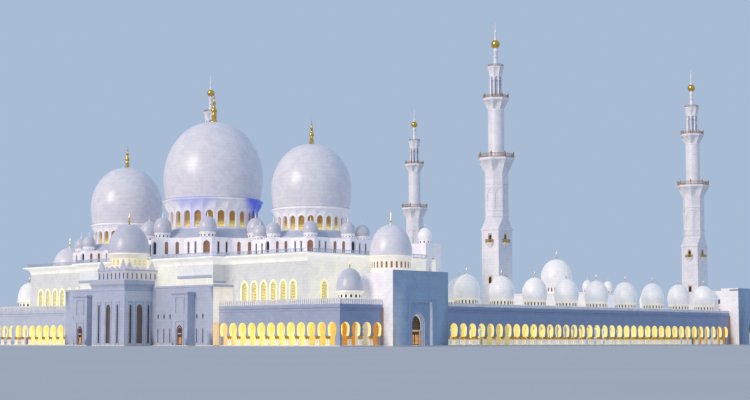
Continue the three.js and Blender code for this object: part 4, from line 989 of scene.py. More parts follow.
bay = Masonry()
tall = arch_line(2.2, SLAB_TOP + 0.5, 11.6, BAY_WINDOW_TOP, 5)
narrow = arch_line(0.8, SLAB_TOP + 0.5, 12.2, BAY_WINDOW_TOP, 3)
bay_glass = lattice_glass("bay_glass", "#8a7464", 0.3, "#5a5048")
# Painted light: the bay's sides are a paler copy of its shaded marble, for the light on them
lit_bay_side_marble = marble("lit_bay_side_marble", "#dbdfe5", "#d8dce2")
bay_middle = (BAY_WEST + MASS_WEST) / 2
bay_front_windows = [(-4.7, narrow), (0.0, tall), (4.7, narrow)]
bay_side_windows = [(bay_middle - 2.9, narrow), (bay_middle + 0.6, tall), (bay_middle + 4.0, narrow)]
for facing, plane, out, u0, u1, windows, finish in (
        (on_x, BAY_WEST, -1, -BAY_HALF, BAY_HALF, bay_front_windows, 0),
        (on_y, -BAY_HALF, -1, BAY_WEST, MASS_WEST, bay_side_windows, BAY_SIDE),
        (on_y, BAY_HALF, 1, BAY_WEST, MASS_WEST, bay_side_windows, BAY_SIDE)):
    holes = [(middle, 1.2 if line is narrow else 3.0, line, BAY_GLASS) for middle, line in windows]
    thick_wall(bay, facing, plane, out, BAY_WALL, u0, u1, SLAB_TOP, BAY_TOP, holes, finish)
    for middle, line in windows:
        half = -line[0][0]
        raised_frame(bay, facing(plane, out), middle, SLAB_TOP, 2 * half + 0.5, BAY_WINDOW_TOP + 0.6,
                     0.3, 0.14)
        raised_frame(bay, facing(plane - out * 0.3, out), middle, SLAB_TOP + 0.5, 2 * half - 0.16, 11.1,
                     0.08, 0.05, BAY_BRONZE)
build("mihrab_bay_finish", bay, [shade_marble, bay_glass, door_bronze, lit_bay_side_marble],
      replaces=("mihrab_bay",))

crown = Masonry()
bay_path = [(BAY_END, BAY_HALF), (BAY_WEST, BAY_HALF), (BAY_WEST, -BAY_HALF), (BAY_END, -BAY_HALF)]
moulding(crown, bay_path, [(0, BAY_TOP - 0.5), (0.14, BAY_TOP - 0.4), (0.14, BAY_TOP), (0.1, BAY_TOP + 0.2),
                           (0.22, BAY_TOP + 0.7), (0.45, BAY_TOP + 1.2), (0.7, BAY_TOP + 1.5),
                           (0.7, PARAPET_TOP), (-0.7, PARAPET_TOP)])
CROWN_IN, CROWN_SLITS = 1.1, 7
SLIT_DARK, CROWN_FACE, CROWN_SIDE = 1, 2, 3
slit = arch_line(0.52, PARAPET_TOP + 0.5, 22.2, 22.5, 2)
for facing, plane, out, u0, u1, finish in (
        (on_x, BAY_WEST + CROWN_IN, -1, -BAY_HALF + CROWN_IN, BAY_HALF - CROWN_IN, CROWN_FACE),
        (on_y, -BAY_HALF + CROWN_IN, -1, BAY_WEST + CROWN_IN, STEP_WEST, CROWN_SIDE),
        (on_y, BAY_HALF - CROWN_IN, 1, BAY_WEST + CROWN_IN, STEP_WEST, CROWN_SIDE)):
    pitch = (u1 - u0) / CROWN_SLITS
    pierced_wall(crown, facing(plane, out), u0, u1, PARAPET_TOP - 0.1, CROWN_TOP,
                 [(u0 + (k + 0.5) * pitch, pitch, slit, SLIT_DARK) for k in range(CROWN_SLITS)], 0.45,
                 finish, finish)
sheet(crown, level(CROWN_TOP), BAY_WEST + CROWN_IN, STEP_WEST, -BAY_HALF + CROWN_IN, BAY_HALF - CROWN_IN)
crown_path = [(STEP_WEST, BAY_HALF - CROWN_IN), (BAY_WEST + CROWN_IN, BAY_HALF - CROWN_IN),
              (BAY_WEST + CROWN_IN, -BAY_HALF + CROWN_IN), (STEP_WEST, -BAY_HALF + CROWN_IN)]
moulding(crown, crown_path, [(0, CROWN_TOP - 0.3), (0.12, CROWN_TOP - 0.2), (0.12, CROWN_TOP + 0.05),
                             (-0.5, CROWN_TOP + 0.05)])


def merlon(work, place, middle, width, foot, top, thick=0.35, finish=0):
    """A leaf-shaped merlon: hollow shoulders that rise to a point."""
    shape = [(-0.5, 0.0), (-0.5, 0.18), (-0.36, 0.3), (-0.3, 0.48), (-0.18, 0.7), (-0.06, 0.86), (0.0, 1.0),
             (0.06, 0.86), (0.18, 0.7), (0.3, 0.48), (0.36, 0.3), (0.5, 0.18), (0.5, 0.0)]
    line = [(middle + u * width, foot + v * (top - foot)) for u, v in shape]
    count = len(line)
    crest = count // 2
    for depth in (0.0, thick):
        for half in (line[:crest + 1] + [(middle, foot)], line[crest:] + [(middle, foot)]):
            work.add([place(u, v, depth) for u, v in half], [tuple(range(len(half)))], half, finish)
    work.add([place(u, v, d) for d in (0, thick) for u, v in line],
             [(i, i + 1, count + i + 1, count + i) for i in range(count - 1)],
             [(d, i * 0.3) for d in (0.0, thick) for i in range(count)], finish)


# Width, foot and top of the two sizes of merlon
TALL_MERLON, LOW_MERLON = (3.0, CROWN_TOP, 26.2), (2.2, CROWN_TOP, 24.6)
for middle, form in ((-5.5, TALL_MERLON), (5.5, TALL_MERLON), (-2.6, LOW_MERLON), (0.0, LOW_MERLON),
                     (2.6, LOW_MERLON)):
    merlon(crown, on_x(BAY_WEST + CROWN_IN, -1), middle, *form, finish=CROWN_FACE)
for middle, form in ((-98.8, TALL_MERLON), (-95.9, LOW_MERLON), (-93.2, LOW_MERLON), (-90.2, TALL_MERLON)):
    for place in (on_y(-BAY_HALF + CROWN_IN, -1), on_y(BAY_HALF - CROWN_IN, 1)):
        merlon(crown, place, middle, *form, finish=CROWN_SIDE)
# Painted light: the crown is a paler copy of the bay's shaded marble, and its sides paler still with a warm
# glow, for the floodlight on them
lit_crown_marble = marble("lit_crown_marble", "#cfcfdd", "#cbcbd9")
lit_crown_side_marble = marble("lit_crown_side_marble", "#e3e3e8", "#dfdfe5", glow=("#ffdab0", 0.15))
build("mihrab_crown", crown, [shade_marble, dark_glass, lit_crown_marble, lit_crown_side_marble],
      replaces=("mihrab_parapet",))

# A dome on a lamplit drum lists its finishes in the order shell, pane, finial, drum
LIT_DOME = (3, 0, 1, 2)
# Painted lamplight: the drums' marble is tinted cream and glows, for the warm lamps on them
lamplit_cream_marble = marble("lamplit_cream_marble", "#f1eee6", "#edeae1", glow=("#fff4d6", 0.3))
bay_dome = Masonry()
small_dome(bay_dome, (-93.8, 0.0), CROWN_TOP, 5.7, 6.45, 28.7, 37.9, 41.7, (20, 0.8, 25.0, 27.0),
           LIT_DOME, 72, pinch=0.985, cornice=6.6)
build("mihrab_dome_finish", bay_dome, [dusk_shade_marble, lit_lattice, gold_leaf, lamplit_cream_marble],
      replaces=("mihrab_dome",))


# Ledge of the stepped wall
# A string course that marks out the plain panels at the two ends of the step, and a slim lower one
# on the step's short sides, of the same marble painted grey-blue for the shade on them.
ledge = Masonry()
for side in (-1, 1):
    low_path = [(STEP_WEST, side * STEP_HALF), (HALL_WEST, side * STEP_HALF)]
    moulding(ledge, low_path if side < 0 else low_path[::-1],
             [(0, SIDE_LEDGE_TOP - 0.5), (0.28, SIDE_LEDGE_TOP - 0.4), (0.28, SIDE_LEDGE_TOP - 0.05),
              (0, SIDE_LEDGE_TOP)])
    path = [(STEP_WEST, side * BRIGHT_HALF), (STEP_WEST, side * STEP_HALF)]
    moulding(ledge, path if side < 0 else path[::-1],
             [(0, LEDGE_TOP - 0.95), (0.3, LEDGE_TOP - 0.85), (0.55, LEDGE_TOP - 0.75),
              (0.55, LEDGE_TOP - 0.05), (0, LEDGE_TOP)])
build("step_ledge", ledge, [shade_marble])


# Wings
# At each front corner a gallery turns round the hall, four bays on the side and twelve on the front,
# with one round dome. Its horseshoe arches stand on twin columns of white marble with flared gilded
# capitals, and lamps at the columns' feet light the arches and the ceiling yellow.
ARCH_NECK, ARCH_WIDEST, ARCH_BULGE, ARCH_TOP, IMPOST = 2.3, 3.35, 5.0, 6.8, 2.9
ARCH_STEPS, COLUMN_RADIUS, COLUMN_APART = 5, 0.26, 0.45
GALLERY_CEILING, GALLERY_ROOF, ARCADE_WALL = 10.0, 10.9, 1.0
GALLERY_OUTER, GALLERY_AXIS = 88.0, 80.2
WING_WEST, PORTAL_HALF = -88.5, 11.9
WING_RAIL_TOP, POST_PITCH = 13.4, 0.84

# Marble as the lamps and the dusk show it: yellow where the lamps at the columns' feet reach it, blue
# where only the sky does, and a plain white on posts and domes
white_marble = marble("white_marble", "#f3f1f5", "#eeedf2")
lamplit_marble = marble("lamplit_marble", "#f1e9c2", "#eee5bc", glow=("#fff6b4", 0.64))
dim_lamplit_marble = marble("dim_lamplit_marble", "#e6d9a0", "#e3d59a", glow=("#fff4a8", 0.6))
arcade_marble = marble("arcade_marble", "#a9b4cb", "#a4afc7")
arcade_side_marble = marble("arcade_side_marble", "#96a6c6", "#92a2c3")
lit_north_arcade_marble = marble("lit_north_arcade_marble", "#c8d0df", "#c4ccdc")
glow_white_marble = marble("glow_white_marble", "#f1eff2", "#edebef", glow=("#fbffe6", 0.2))
bronze_lattice = lattice_glass("bronze_lattice", "#8a6848", 0.35, "#5e4a34")
(PLAIN, BRIGHT, CEILING_GLOW, WHITE, GILT, SIDE_PLAIN, POSTS, DRUM_PANE, FINIAL, DARK_PANE, LAMPLIT_CREAM,
 DUSK_SHADE) = range(12)
ARCADE_FINISHES = [arcade_marble, lamplit_marble, dim_lamplit_marble, glow_white_marble, gold_leaf,
                   arcade_side_marble, white_marble, bronze_lattice, pale_gold, dark_glass, lamplit_cream_marble,
                   dusk_shade_marble]
# Painted light: the north wing's arcade is a paler copy of the shaded arcade marble, and its dome glows white
# in place of the dusk shade, for the lamplight on that side
NORTH_WING_FINISHES = [lit_north_arcade_marble, *ARCADE_FINISHES[1:DUSK_SHADE], glow_white_marble]


def horseshoe_line():
    """The arch's outline, from its left springing over the pointed crown to the right one."""
    half_neck, half_wide = ARCH_NECK / 2, ARCH_WIDEST / 2
    left = []
    for i in range(ARCH_STEPS + 1):
        t = i / ARCH_STEPS * math.pi / 2
        left.append((-(half_neck + (half_wide - half_neck) * math.sin(t)),
                     ARCH_BULGE - (ARCH_BULGE - IMPOST) * math.cos(t) ** 1.2))
    for i in range(1, ARCH_STEPS + 1):
        t = i / ARCH_STEPS * math.pi / 2
        left.append((-half_wide * math.cos(t) ** 0.9,
                     ARCH_BULGE + (ARCH_TOP - ARCH_BULGE) * math.sin(t) ** 0.85))
    return left + [(-u, v) for u, v in reversed(left[:-1])]


def column(work, x, y):
    """A slim round column: moulded base, shaft, gilded collar and flared capital."""
    foot, r = SLAB_TOP, COLUMN_RADIUS
    turn(work, (x, y), [(r * 1.5, foot), (r * 1.5, foot + 0.18), (r * 1.15, foot + 0.3), (r, foot + 0.4),
                        (r * 0.92, IMPOST - 0.8)], 10, WHITE)
    turn(work, (x, y), [(r * 1.1, IMPOST - 0.85), (r * 1.05, IMPOST - 0.7), (r * 1.25, IMPOST - 0.4),
                        (r * 1.65, IMPOST - 0.12), (r * 1.7, IMPOST)], 10, GILT)


def arcade(work, facing, plane, out, u0, u1, centres, first_pier=True):
    """A wall of arches between two end piers. It stands on a pair of columns at each pier."""
    line = horseshoe_line()
    pitch = abs(centres[1] - centres[0])
    holes = [(centre, pitch, line, None) for centre in centres]
    face_finish = PLAIN if facing is on_x else SIDE_PLAIN
    thick_wall(work, facing, plane, out, ARCADE_WALL, u0, u1, IMPOST, GALLERY_CEILING, holes,
               outer=face_finish, reveal=BRIGHT, inner=CEILING_GLOW)
    face = facing(plane, out)
    middle = facing(plane - out * ARCADE_WALL / 2, out)
    edges = [u0] + [c + s * ARCH_NECK / 2 for c in sorted(centres) for s in (-1, 1)] + [u1]
    for a, b in zip(edges[::2], edges[1::2]):
        corners = [(a, 0), (b, 0), (b, ARCADE_WALL), (a, ARCADE_WALL)]
        work.add([face(u, IMPOST, d) for u, d in corners], [(0, 1, 2, 3)], corners, BRIGHT)
    for a, b in zip(edges[2:-2:2], edges[3:-2:2]):
        for shift in (-COLUMN_APART, COLUMN_APART):
            x, y, _ = middle((a + b) / 2 + shift, 0, 0)
            column(work, x, y)
    for a, b in ([(edges[0], edges[1])] if first_pier else []) + [(edges[-2], edges[-1])]:
        (xa, ya, _), (xb, yb, _) = face(a, 0, 0), face(b, 0, ARCADE_WALL)
        post(work, (xa + xb) / 2, (ya + yb) / 2, abs(xb - xa) / 2, abs(yb - ya) / 2, SLAB_TOP, IMPOST,
             face_finish)


def spread(middle, count, pitch):
    """Middles of a row."""
    return [middle + (i - (count - 1) / 2) * pitch for i in range(count)]


def parapet(work, path, top, finish=PLAIN):
    """The fascia with its two shadow lines, a plain band, and the row of stone posts on it."""
    band = GALLERY_ROOF + 0.9
    moulding(work, path, [(0, GALLERY_CEILING - 0.1), (0.1, GALLERY_CEILING), (0.1, GALLERY_CEILING + 0.15),
                          (0.02, GALLERY_CEILING + 0.2), (0.02, GALLERY_ROOF - 0.3),
                          (0.3, GALLERY_ROOF - 0.1), (0.3, GALLERY_ROOF + 0.05),
                          (0.08, GALLERY_ROOF + 0.12), (0.08, band), (-0.35, band),
                          (-0.35, GALLERY_ROOF)], finish=finish)
    for (ax, ay), (bx, by) in zip(path, path[1:]):
        length = math.dist((ax, ay), (bx, by))
        nx, ny = (by - ay) / length, (ax - bx) / length
        number = round(length / POST_PITCH)
        for k in range(number + 1):
            t = k / number
            x, y = ax + (bx - ax) * t - nx * 0.13, ay + (by - ay) * t - ny * 0.13
            post(work, x, y, 0.17, 0.17, band, top - 0.16, POSTS)
            turn(work, (x, y), [(0.25, top - 0.2), (0.16, top - 0.06), (0.0, top + 0.12)], 4, POSTS, EIGHTH)
    moulding(work, path, [(0.0, top - 0.45), (0.0, top - 0.33), (-0.26, top - 0.33), (-0.26, top - 0.45),
                          (0.0, top - 0.45)], finish=POSTS)


def floors(work, *areas):
    """Ceiling and roof over each area of a gallery, given by its two ranges in plan."""
    for height, finish in ((GALLERY_CEILING, BRIGHT), (GALLERY_ROOF, WHITE)):
        for area in areas:
            sheet(work, level(height), *area, finish)


portal_west = DOME_X - PORTAL_HALF
wing = Masonry()
arcade(wing, on_y, -GALLERY_OUTER, -1, WING_WEST, portal_west,
       spread((WING_WEST + portal_west) / 2, 4, (portal_west - WING_WEST) / 4), first_pier=False)
inner_corner = -GALLERY_OUTER + ARCADE_WALL
wing_length = -MASS_HALF - inner_corner
arcade(wing, on_x, WING_WEST, -1, -GALLERY_OUTER, -MASS_HALF,
       spread((inner_corner - MASS_HALF) / 2, 12, wing_length / 12))
LINING = 0.04
sheet(wing, on_x(HALL_WEST - LINING, -1), -HALL_HALF, -MASS_HALF, SLAB_TOP, GALLERY_CEILING, CEILING_GLOW)
sheet(wing, on_y(-HALL_HALF - LINING, -1), HALL_WEST, portal_west, SLAB_TOP, GALLERY_CEILING, CEILING_GLOW)
for side, finishes in (("south", ARCADE_FINISHES), ("north", NORTH_WING_FINISHES)):
    build(side + "_wing_arcade", wing, finishes, replaces=(side + "_wing_front", side + "_wing_side"),
          flip=side == "north")

wing_roof = Masonry()
floors(wing_roof, (WING_WEST, portal_west, -GALLERY_OUTER, -HALL_HALF),
       (WING_WEST, HALL_WEST, -HALL_HALF, -MASS_HALF))
parapet(wing_roof, [(WING_WEST, -MASS_HALF), (WING_WEST, -GALLERY_OUTER), (portal_west, -GALLERY_OUTER)],
        WING_RAIL_TOP, (PLAIN, SIDE_PLAIN))
small_dome(wing_roof, (DOME_X - BAY, -GALLERY_AXIS), GALLERY_ROOF, 3.3, 3.9, 15.7, 22.2, 24.4,
           (14, 0.6, 13.8, 14.7), (LAMPLIT_CREAM, DUSK_SHADE, DARK_PANE, GILT), 48, pinch=0.975, cornice=4.2)
for side, finishes in (("south", ARCADE_FINISHES), ("north", NORTH_WING_FINISHES)):
    build(side + "_wing_roof_finish", wing_roof, finishes, replaces=(side + "_wing_roof",),
          flip=side == "north")


# Galleries
# The long galleries beside the court and the two across it are open on both sides, and each
# bay of four arches carries an onion-shaped dome on a windowed drum.
ARCH_PITCH, RAIL_ROW_TOP = 4.3, 12.9
GALLERY_INNER, GALLERY_EAST, COURT_EAST, EAST_AXIS = 72.0, 137.2, 120.0, 128.8
PORTAL_EAST_X, MINARET_Y, MINARET_SIDE = 129.3, 72.05, 7.0


def gallery_dome(work, x, y):
    """The onion-shaped dome of a gallery's bay."""
    small_dome(work, (x, y), GALLERY_ROOF, 3.6, 4.1, 14.75, 22.1, 24.4, (20, 0.42, 12.95, 14.1),
               (LAMPLIT_CREAM, WHITE, DRUM_PANE, FINIAL), 40, pinch=0.92, cornice=3.85)


portal_east, corner_west = DOME_X + PORTAL_HALF, PORTAL_EAST_X - PORTAL_HALF
minaret_edge = MINARET_SIDE / 2
outer_row = Masonry()
arcade(outer_row, on_y, -GALLERY_OUTER, -1, portal_east, corner_west,
       spread((portal_east + corner_west) / 2, 38, ARCH_PITCH))
build_pair("#_outer_arches", outer_row, ARCADE_FINISHES, replaces=("#_outer_arcade",))
court_row = Masonry()
arcade(court_row, on_y, -GALLERY_INNER, 1, minaret_edge, COURT_EAST - minaret_edge,
       spread(COURT_EAST / 2, 26, ARCH_PITCH))
build_pair("#_court_arches", court_row, ARCADE_FINISHES, replaces=("#_court_arcade",))

long_roof = Masonry()
floors(long_roof, (portal_east, corner_west, -GALLERY_OUTER, -GALLERY_INNER),
       (portal_east, HALL_EAST, -GALLERY_INNER, -HALL_HALF))
sheet(long_roof, on_y(-HALL_HALF - LINING, -1), portal_east, HALL_EAST, SLAB_TOP, GALLERY_CEILING,
      CEILING_GLOW)
parapet(long_roof, [(portal_east, -GALLERY_OUTER), (corner_west, -GALLERY_OUTER)], RAIL_ROW_TOP, SIDE_PLAIN)
parapet(long_roof, [(COURT_EAST - minaret_edge, -GALLERY_INNER), (minaret_edge, -GALLERY_INNER)],
        RAIL_ROW_TOP)
for k in range(10):
    gallery_dome(long_roof, DOME_X + (k + 1) * BAY, -GALLERY_AXIS)
build_pair("#_gallery_roof_finish", long_roof, ARCADE_FINISHES, replaces=("#_gallery_roof",))

inside_minarets = MINARET_Y - minaret_edge
cross_rows = [side * y for y in (28.6, 45.8, 63.0) for side in (-1, 1)]
west_court = Masonry()
arcade(west_court, on_x, 0.0, 1, -inside_minarets, inside_minarets, spread(0.0, 31, ARCH_PITCH))
build("west_court_arches", west_court, ARCADE_FINISHES, replaces=("west_court_arcade",))
west_roof = Masonry()
floors(west_roof, (HALL_EAST, 0.0, -GALLERY_INNER, GALLERY_INNER))
parapet(west_roof, [(0.0, -inside_minarets), (0.0, inside_minarets)], RAIL_ROW_TOP)
for y in cross_rows:
    gallery_dome(west_roof, -BAY / 2, y)
build("west_court_roof_finish", west_roof, ARCADE_FINISHES, replaces=("west_court_roof",))

east_rows = Masonry()
arcade(east_rows, on_x, COURT_EAST, -1, -inside_minarets, inside_minarets, spread(0.0, 31, ARCH_PITCH))
arcade(east_rows, on_x, GALLERY_EAST, 1, -GALLERY_INNER, GALLERY_INNER, spread(0.0, 33, ARCH_PITCH))
build("east_gallery_arches", east_rows, ARCADE_FINISHES, replaces=("east_court_arcade", "east_outer_arcade"))
GATE_HALF = 23.5
east_roof = Masonry()
floors(east_roof, (COURT_EAST, GALLERY_EAST, -GALLERY_INNER, GALLERY_INNER))
for y in cross_rows:
    if abs(y) > GATE_HALF + 6.0:
        gallery_dome(east_roof, EAST_AXIS, y)
for side in (-1, 1):
    for edge_x, end, out in ((COURT_EAST, inside_minarets, 1), (GALLERY_EAST, GALLERY_INNER, -1)):
        edge = [(edge_x, side * end), (edge_x, side * GATE_HALF)]
        parapet(east_roof, edge if side == out else edge[::-1], RAIL_ROW_TOP)
build("east_gallery_roof_finish", east_roof, ARCADE_FINISHES, replaces=("east_gallery_roof",))


# East gate
# A plain tall block over the middle of the east gallery, a little wider than it, with blind arches
# on its two long sides, a turret dome on each corner and a large dome on its axis.
GATE_PANE, GATE_GILT, GATE_SIDE = 1, 2, 3
GATE_TOP, GATE_OVER, TURRET_IN, TURRET_Y = 21.1, 0.8, 2.2, 21.0
gate = Masonry()
gate_west, gate_east = COURT_EAST - GATE_OVER, GALLERY_EAST + GATE_OVER
gate_arch = arch_line(11.0, GALLERY_ROOF + 0.6, 15.2, 19.5, 8)
blind = arch_line(5.0, GALLERY_ROOF + 0.6, 15.4, 17.8, 6)
for plane, out in ((gate_west, -1), (gate_east, 1)):
    pierced_wall(gate, on_x(plane, out), -GATE_HALF, GATE_HALF, GALLERY_ROOF, GATE_TOP,
                 [(0.0, 14.0, gate_arch, 0), (-14.5, 8.0, blind, 0), (14.5, 8.0, blind, 0)], 0.6)
    raised_frame(gate, on_x(plane, out), 0.0, GALLERY_ROOF, 13.0, 20.0, 0.4, 0.15)
for side in (-1, 1):
    sheet(gate, on_y(side * GATE_HALF, side), gate_west, gate_east, GALLERY_ROOF, GATE_TOP, GATE_SIDE)
for height in (GATE_TOP, GALLERY_ROOF):
    sheet(gate, level(height), gate_west, gate_east, -GATE_HALF, GATE_HALF)
gate_path = [(gate_west, GATE_HALF), (gate_west, -GATE_HALF), (gate_east, -GATE_HALF), (gate_east, GATE_HALF)]
moulding(gate, gate_path, [(0, GATE_TOP - 0.7), (0.3, GATE_TOP - 0.4), (0.3, GATE_TOP + 0.1),
                           (-0.6, GATE_TOP + 0.1)], True)
for x in (gate_west + TURRET_IN, gate_east - TURRET_IN):
    for y in (-TURRET_Y, TURRET_Y):
        small_dome(gate, (x, y), GATE_TOP, 1.9, 2.15, 22.75, 26.1, 27.5, (8, 0.4, 21.3, 21.95),
                   (0, 0, GATE_PANE, GATE_GILT), 24, pinch=0.95)
small_dome(gate, (EAST_AXIS, 0.0), GATE_TOP, 5.6, 6.55, 25.0, 35.6, 39.6, (24, 0.6, 22.0, 23.6),
           (0, 0, GATE_PANE, GATE_GILT), 72, pinch=0.92, cornice=6.2)
# Painted light: the gate's short sides are a copy of the marble that glows more, for the floodlight on them
lit_gate_side_marble = marble("lit_gate_side_marble", "#e9e7ea", "#e6e4e8", glow=("#fffdfa", 0.42))
build("east_gate_finish", gate, [glow_white_marble, bronze_lattice, pale_gold, lit_gate_side_marble],
      replaces=("east_gate_block",))


# Portals
# Four tall plain blocks clad in large slabs, with a hollow room behind a thick screen. A stepped
# arch stands in a framed recess, and below its bronze fanlight are the double doors. The two
# beside the hall carry a dome, and the two far ones have a flat roof and small windows.
PORTAL_FRONT, ROOM_FRONT, PORTAL_WALL = -92.0, -88.5, 1.2
PORTAL_TOP, REAR_TOP, SCREEN_BACK = 21.6, 20.8, -88.5
CORNER_TOP, CORNER_REAR_TOP, CORNER_SCREEN_BACK, CORNER_WINDOW_Y = 21.1, 20.2, -84.8, -83.8
RECESS_WIDTH, RECESS_TOP = 9.8, 12.7
NICHE_BACK = -89.8
NICHE_ORDERS = [(5.4, 9.8, -91.0), (4.95, 9.5, -90.6), (4.55, 9.25, -90.2)]
FANLIGHT_FOOT, FANLIGHT_TOP = 4.7, 8.8
PASSAGE_WIDTH, PASSAGE_TOP = 6.0, 8.4
WINDOW_SPLIT, LINTEL, NICHE_HEAD, NICHE_PANEL = 14.3, 4.5, 9.5, 5.0
PORTAL_FACE, PORTAL_LATTICE, PORTAL_INSIDE, PORTAL_GILT, PORTAL_DARK, PORTAL_LINING = range(1, 7)

# The large slabs of the portals' fronts stand in blue dusk light, and the sides toward the galleries in
# orange lamplight. The fanlight is a cast bronze screen before lamplit glass, drawn with cells of
# 0.55 m so that they show.
portal_marble = marble("portal_marble", "#a0b8d3", "#9bb3cf", LARGE_SLAB)
lining_marble = marble("lining_marble", "#c79a58", "#c29352", glow=("#ffc46a", 0.4))
fanlight_bronze = lattice_glass("fanlight_bronze", "#d9a45c", 0.3, "#3a2c26", cell=0.55, bar=0.16)
PORTAL_FINISHES = [lit_white_marble, portal_marble, fanlight_bronze, inside_marble, gold_leaf, dark_glass,
                   lining_marble]


def portal(work, x, back, beside_hall):
    """The screen with its recess, niche and doorway, and the hollow block behind it."""
    west, east = x - PORTAL_HALF, x + PORTAL_HALF
    top, rear_top, screen_back = ((PORTAL_TOP, REAR_TOP, SCREEN_BACK) if beside_hall else
                                  (CORNER_TOP, CORNER_REAR_TOP, CORNER_SCREEN_BACK))
    recess = door_line(RECESS_WIDTH, SLAB_TOP, RECESS_TOP)
    front = on_y(PORTAL_FRONT, -1)
    pierced_wall(work, front, west, east, SLAB_TOP, top, [(x, RECESS_WIDTH + 2, recess, None)], 1.0,
                 PORTAL_FACE)
    raised_frame(work, front, x, SLAB_TOP, RECESS_WIDTH, RECESS_TOP, 0.35, 0.3, PORTAL_FACE)
    for index, (width, crown, plane) in enumerate(NICHE_ORDERS):
        behind = NICHE_ORDERS[index + 1][2] if index + 1 < len(NICHE_ORDERS) else NICHE_BACK
        line = arch_line(width, SLAB_TOP, crown - width * 0.62, crown, 8)
        before = NICHE_ORDERS[index - 1][0] + 0.4 if index else RECESS_WIDTH
        head = NICHE_ORDERS[index - 1][1] + 0.2 if index else RECESS_TOP
        halved_panel(work, on_y(plane, -1), x, before, SLAB_TOP, head, line, behind - plane, PORTAL_FACE)
    rear_face = on_y(NICHE_BACK, -1)
    doorway = door_line(PORTAL_DOOR_WIDTH, SLAB_TOP, PORTAL_DOOR_TOP)
    fanlight = arch_line(PORTAL_DOOR_WIDTH, FANLIGHT_FOOT, 6.3, FANLIGHT_TOP, 8)
    halved_panel(work, rear_face, x, NICHE_PANEL, SLAB_TOP, LINTEL, doorway, ROOM_FRONT - NICHE_BACK)
    halved_panel(work, rear_face, x, NICHE_PANEL, LINTEL, NICHE_HEAD, fanlight, 0.5, 0, PORTAL_GILT,
                 PORTAL_LATTICE)
    raised_frame(work, rear_face, x, SLAB_TOP, PORTAL_DOOR_WIDTH, PORTAL_DOOR_TOP, 0.16, 0.12, PORTAL_GILT)
    way = arch_line(PASSAGE_WIDTH, SLAB_TOP, 4.6, PASSAGE_TOP, 7)
    for side in (-1, 1):
        edge = x + side * PORTAL_HALF
        sheet(work, on_x(edge, side), PORTAL_FRONT, screen_back, rear_top, top)
        holes = [(-GALLERY_AXIS, PASSAGE_WIDTH + 2, way, None)] if beside_hall or side < 0 else []
        low_window, high_window = [
            [(CORNER_WINDOW_Y, 1.8, door_line(0.9, foot, head), PORTAL_DARK)]
            if side < 0 and not beside_hall else [] for foot, head in ((12.4, 13.3), (15.4, 17.0))]
        for foot, head, pierced, outer in ((SLAB_TOP, GALLERY_ROOF, holes, PORTAL_LINING if holes else 0),
                                           (GALLERY_ROOF, WINDOW_SPLIT, low_window, 0),
                                           (WINDOW_SPLIT, rear_top, high_window, 0)):
            sheet(work, on_x(edge, side), PORTAL_FRONT, ROOM_FRONT, foot, head)
            thick_wall(work, on_x, edge, side, PORTAL_WALL, ROOM_FRONT, back, foot, head, pierced, outer,
                       inner=PORTAL_INSIDE)
    pierced_wall(work, on_y(ROOM_FRONT, 1), west, east, SLAB_TOP, rear_top - 1,
                 [(x, NICHE_PANEL, doorway, None)], 0.0, PORTAL_INSIDE)
    sheet(work, on_y(screen_back, 1), west, east, rear_top, top)
    sheet(work, level(top), west, east, PORTAL_FRONT, screen_back)
    sheet(work, level(rear_top), west, east, screen_back, back)
    sheet(work, level(rear_top - 1), west, east, ROOM_FRONT, back, PORTAL_INSIDE)
    if not beside_hall:
        turning = [(EAST_AXIS, PASSAGE_WIDTH + 2, way, None)]
        thick_wall(work, on_y, back, 1, PORTAL_WALL, west, east, SLAB_TOP, rear_top, turning,
                   inner=PORTAL_INSIDE)


west_portal = Masonry()
portal(west_portal, DOME_X, -HALL_HALF, True)
build_pair("#_portal_finish", west_portal, PORTAL_FINISHES, replaces=("#_portal",))
west_dome = Masonry()
small_dome(west_dome, (DOME_X, -GALLERY_AXIS), REAR_TOP, 5.7, 6.25, 26.3, 35.65, 39.7, (24, 0.62, 22.7, 24.6),
           LIT_DOME, 72, pinch=0.985, cornice=6.5)
build_pair("#_portal_dome_finish", west_dome, [dome_marble, dim_lattice, pale_gold, lamplit_cream_marble],
           ("#_portal_dome",))
corner_portal = Masonry()
portal(corner_portal, PORTAL_EAST_X, -GALLERY_INNER, False)
build_pair("#east_portal_finish", corner_portal, PORTAL_FINISHES, replaces=("#east_portal",))


# Minarets
# Four alike, cast and clad in white marble: a square foot with small balconies, an eight-sided
# shaft, a round shaft and an open lantern, with gilded balls and bronze rails at the balconies.
SQUARE_TOP, OCTAGON_FOOT, OCTAGON_RADIUS = 37.9, 41.1, 4.0
FIRST_CORBEL, FIRST_DECK, FIRST_RADIUS = 56.3, 61.0, 6.0
ROUND_RADIUS, SECOND_CORBEL, SECOND_DECK, SECOND_RADIUS = 2.65, 77.1, 80.8, 4.35
LANTERN_TOP, CAPITAL_TOP, BALL_Z, BALL_RADIUS, SPIRE_TOP = 88.1, 91.3, 98.9, 1.45, 107.0
SMALL_DECK, SMALL_DECK_UNDER, DOOR_FOOT, WINDOW_BAND_TOP = 33.2, 33.0, 33.3, 25.0
FIRST_RAIL, SECOND_RAIL = 62.7, 82.1
TOWER_RAIL, TOWER_GILT, TOWER_GLASS, TOWER_SHADE = range(1, 5)

# Rail bronze: cast and waxed, which gives the eye a pale warm brown with a low sheen
rail_bronze = metal("rail_bronze", "#c9a98a", "#a9876a", 0.4)


def octagon_path(centre, radius):
    """The corners of an eight-sided stage in plan."""
    turns = [(j + 0.5) * EIGHTH for j in range(8)]
    return [(centre[0] + radius * math.cos(a), centre[1] + radius * math.sin(a)) for a in turns]


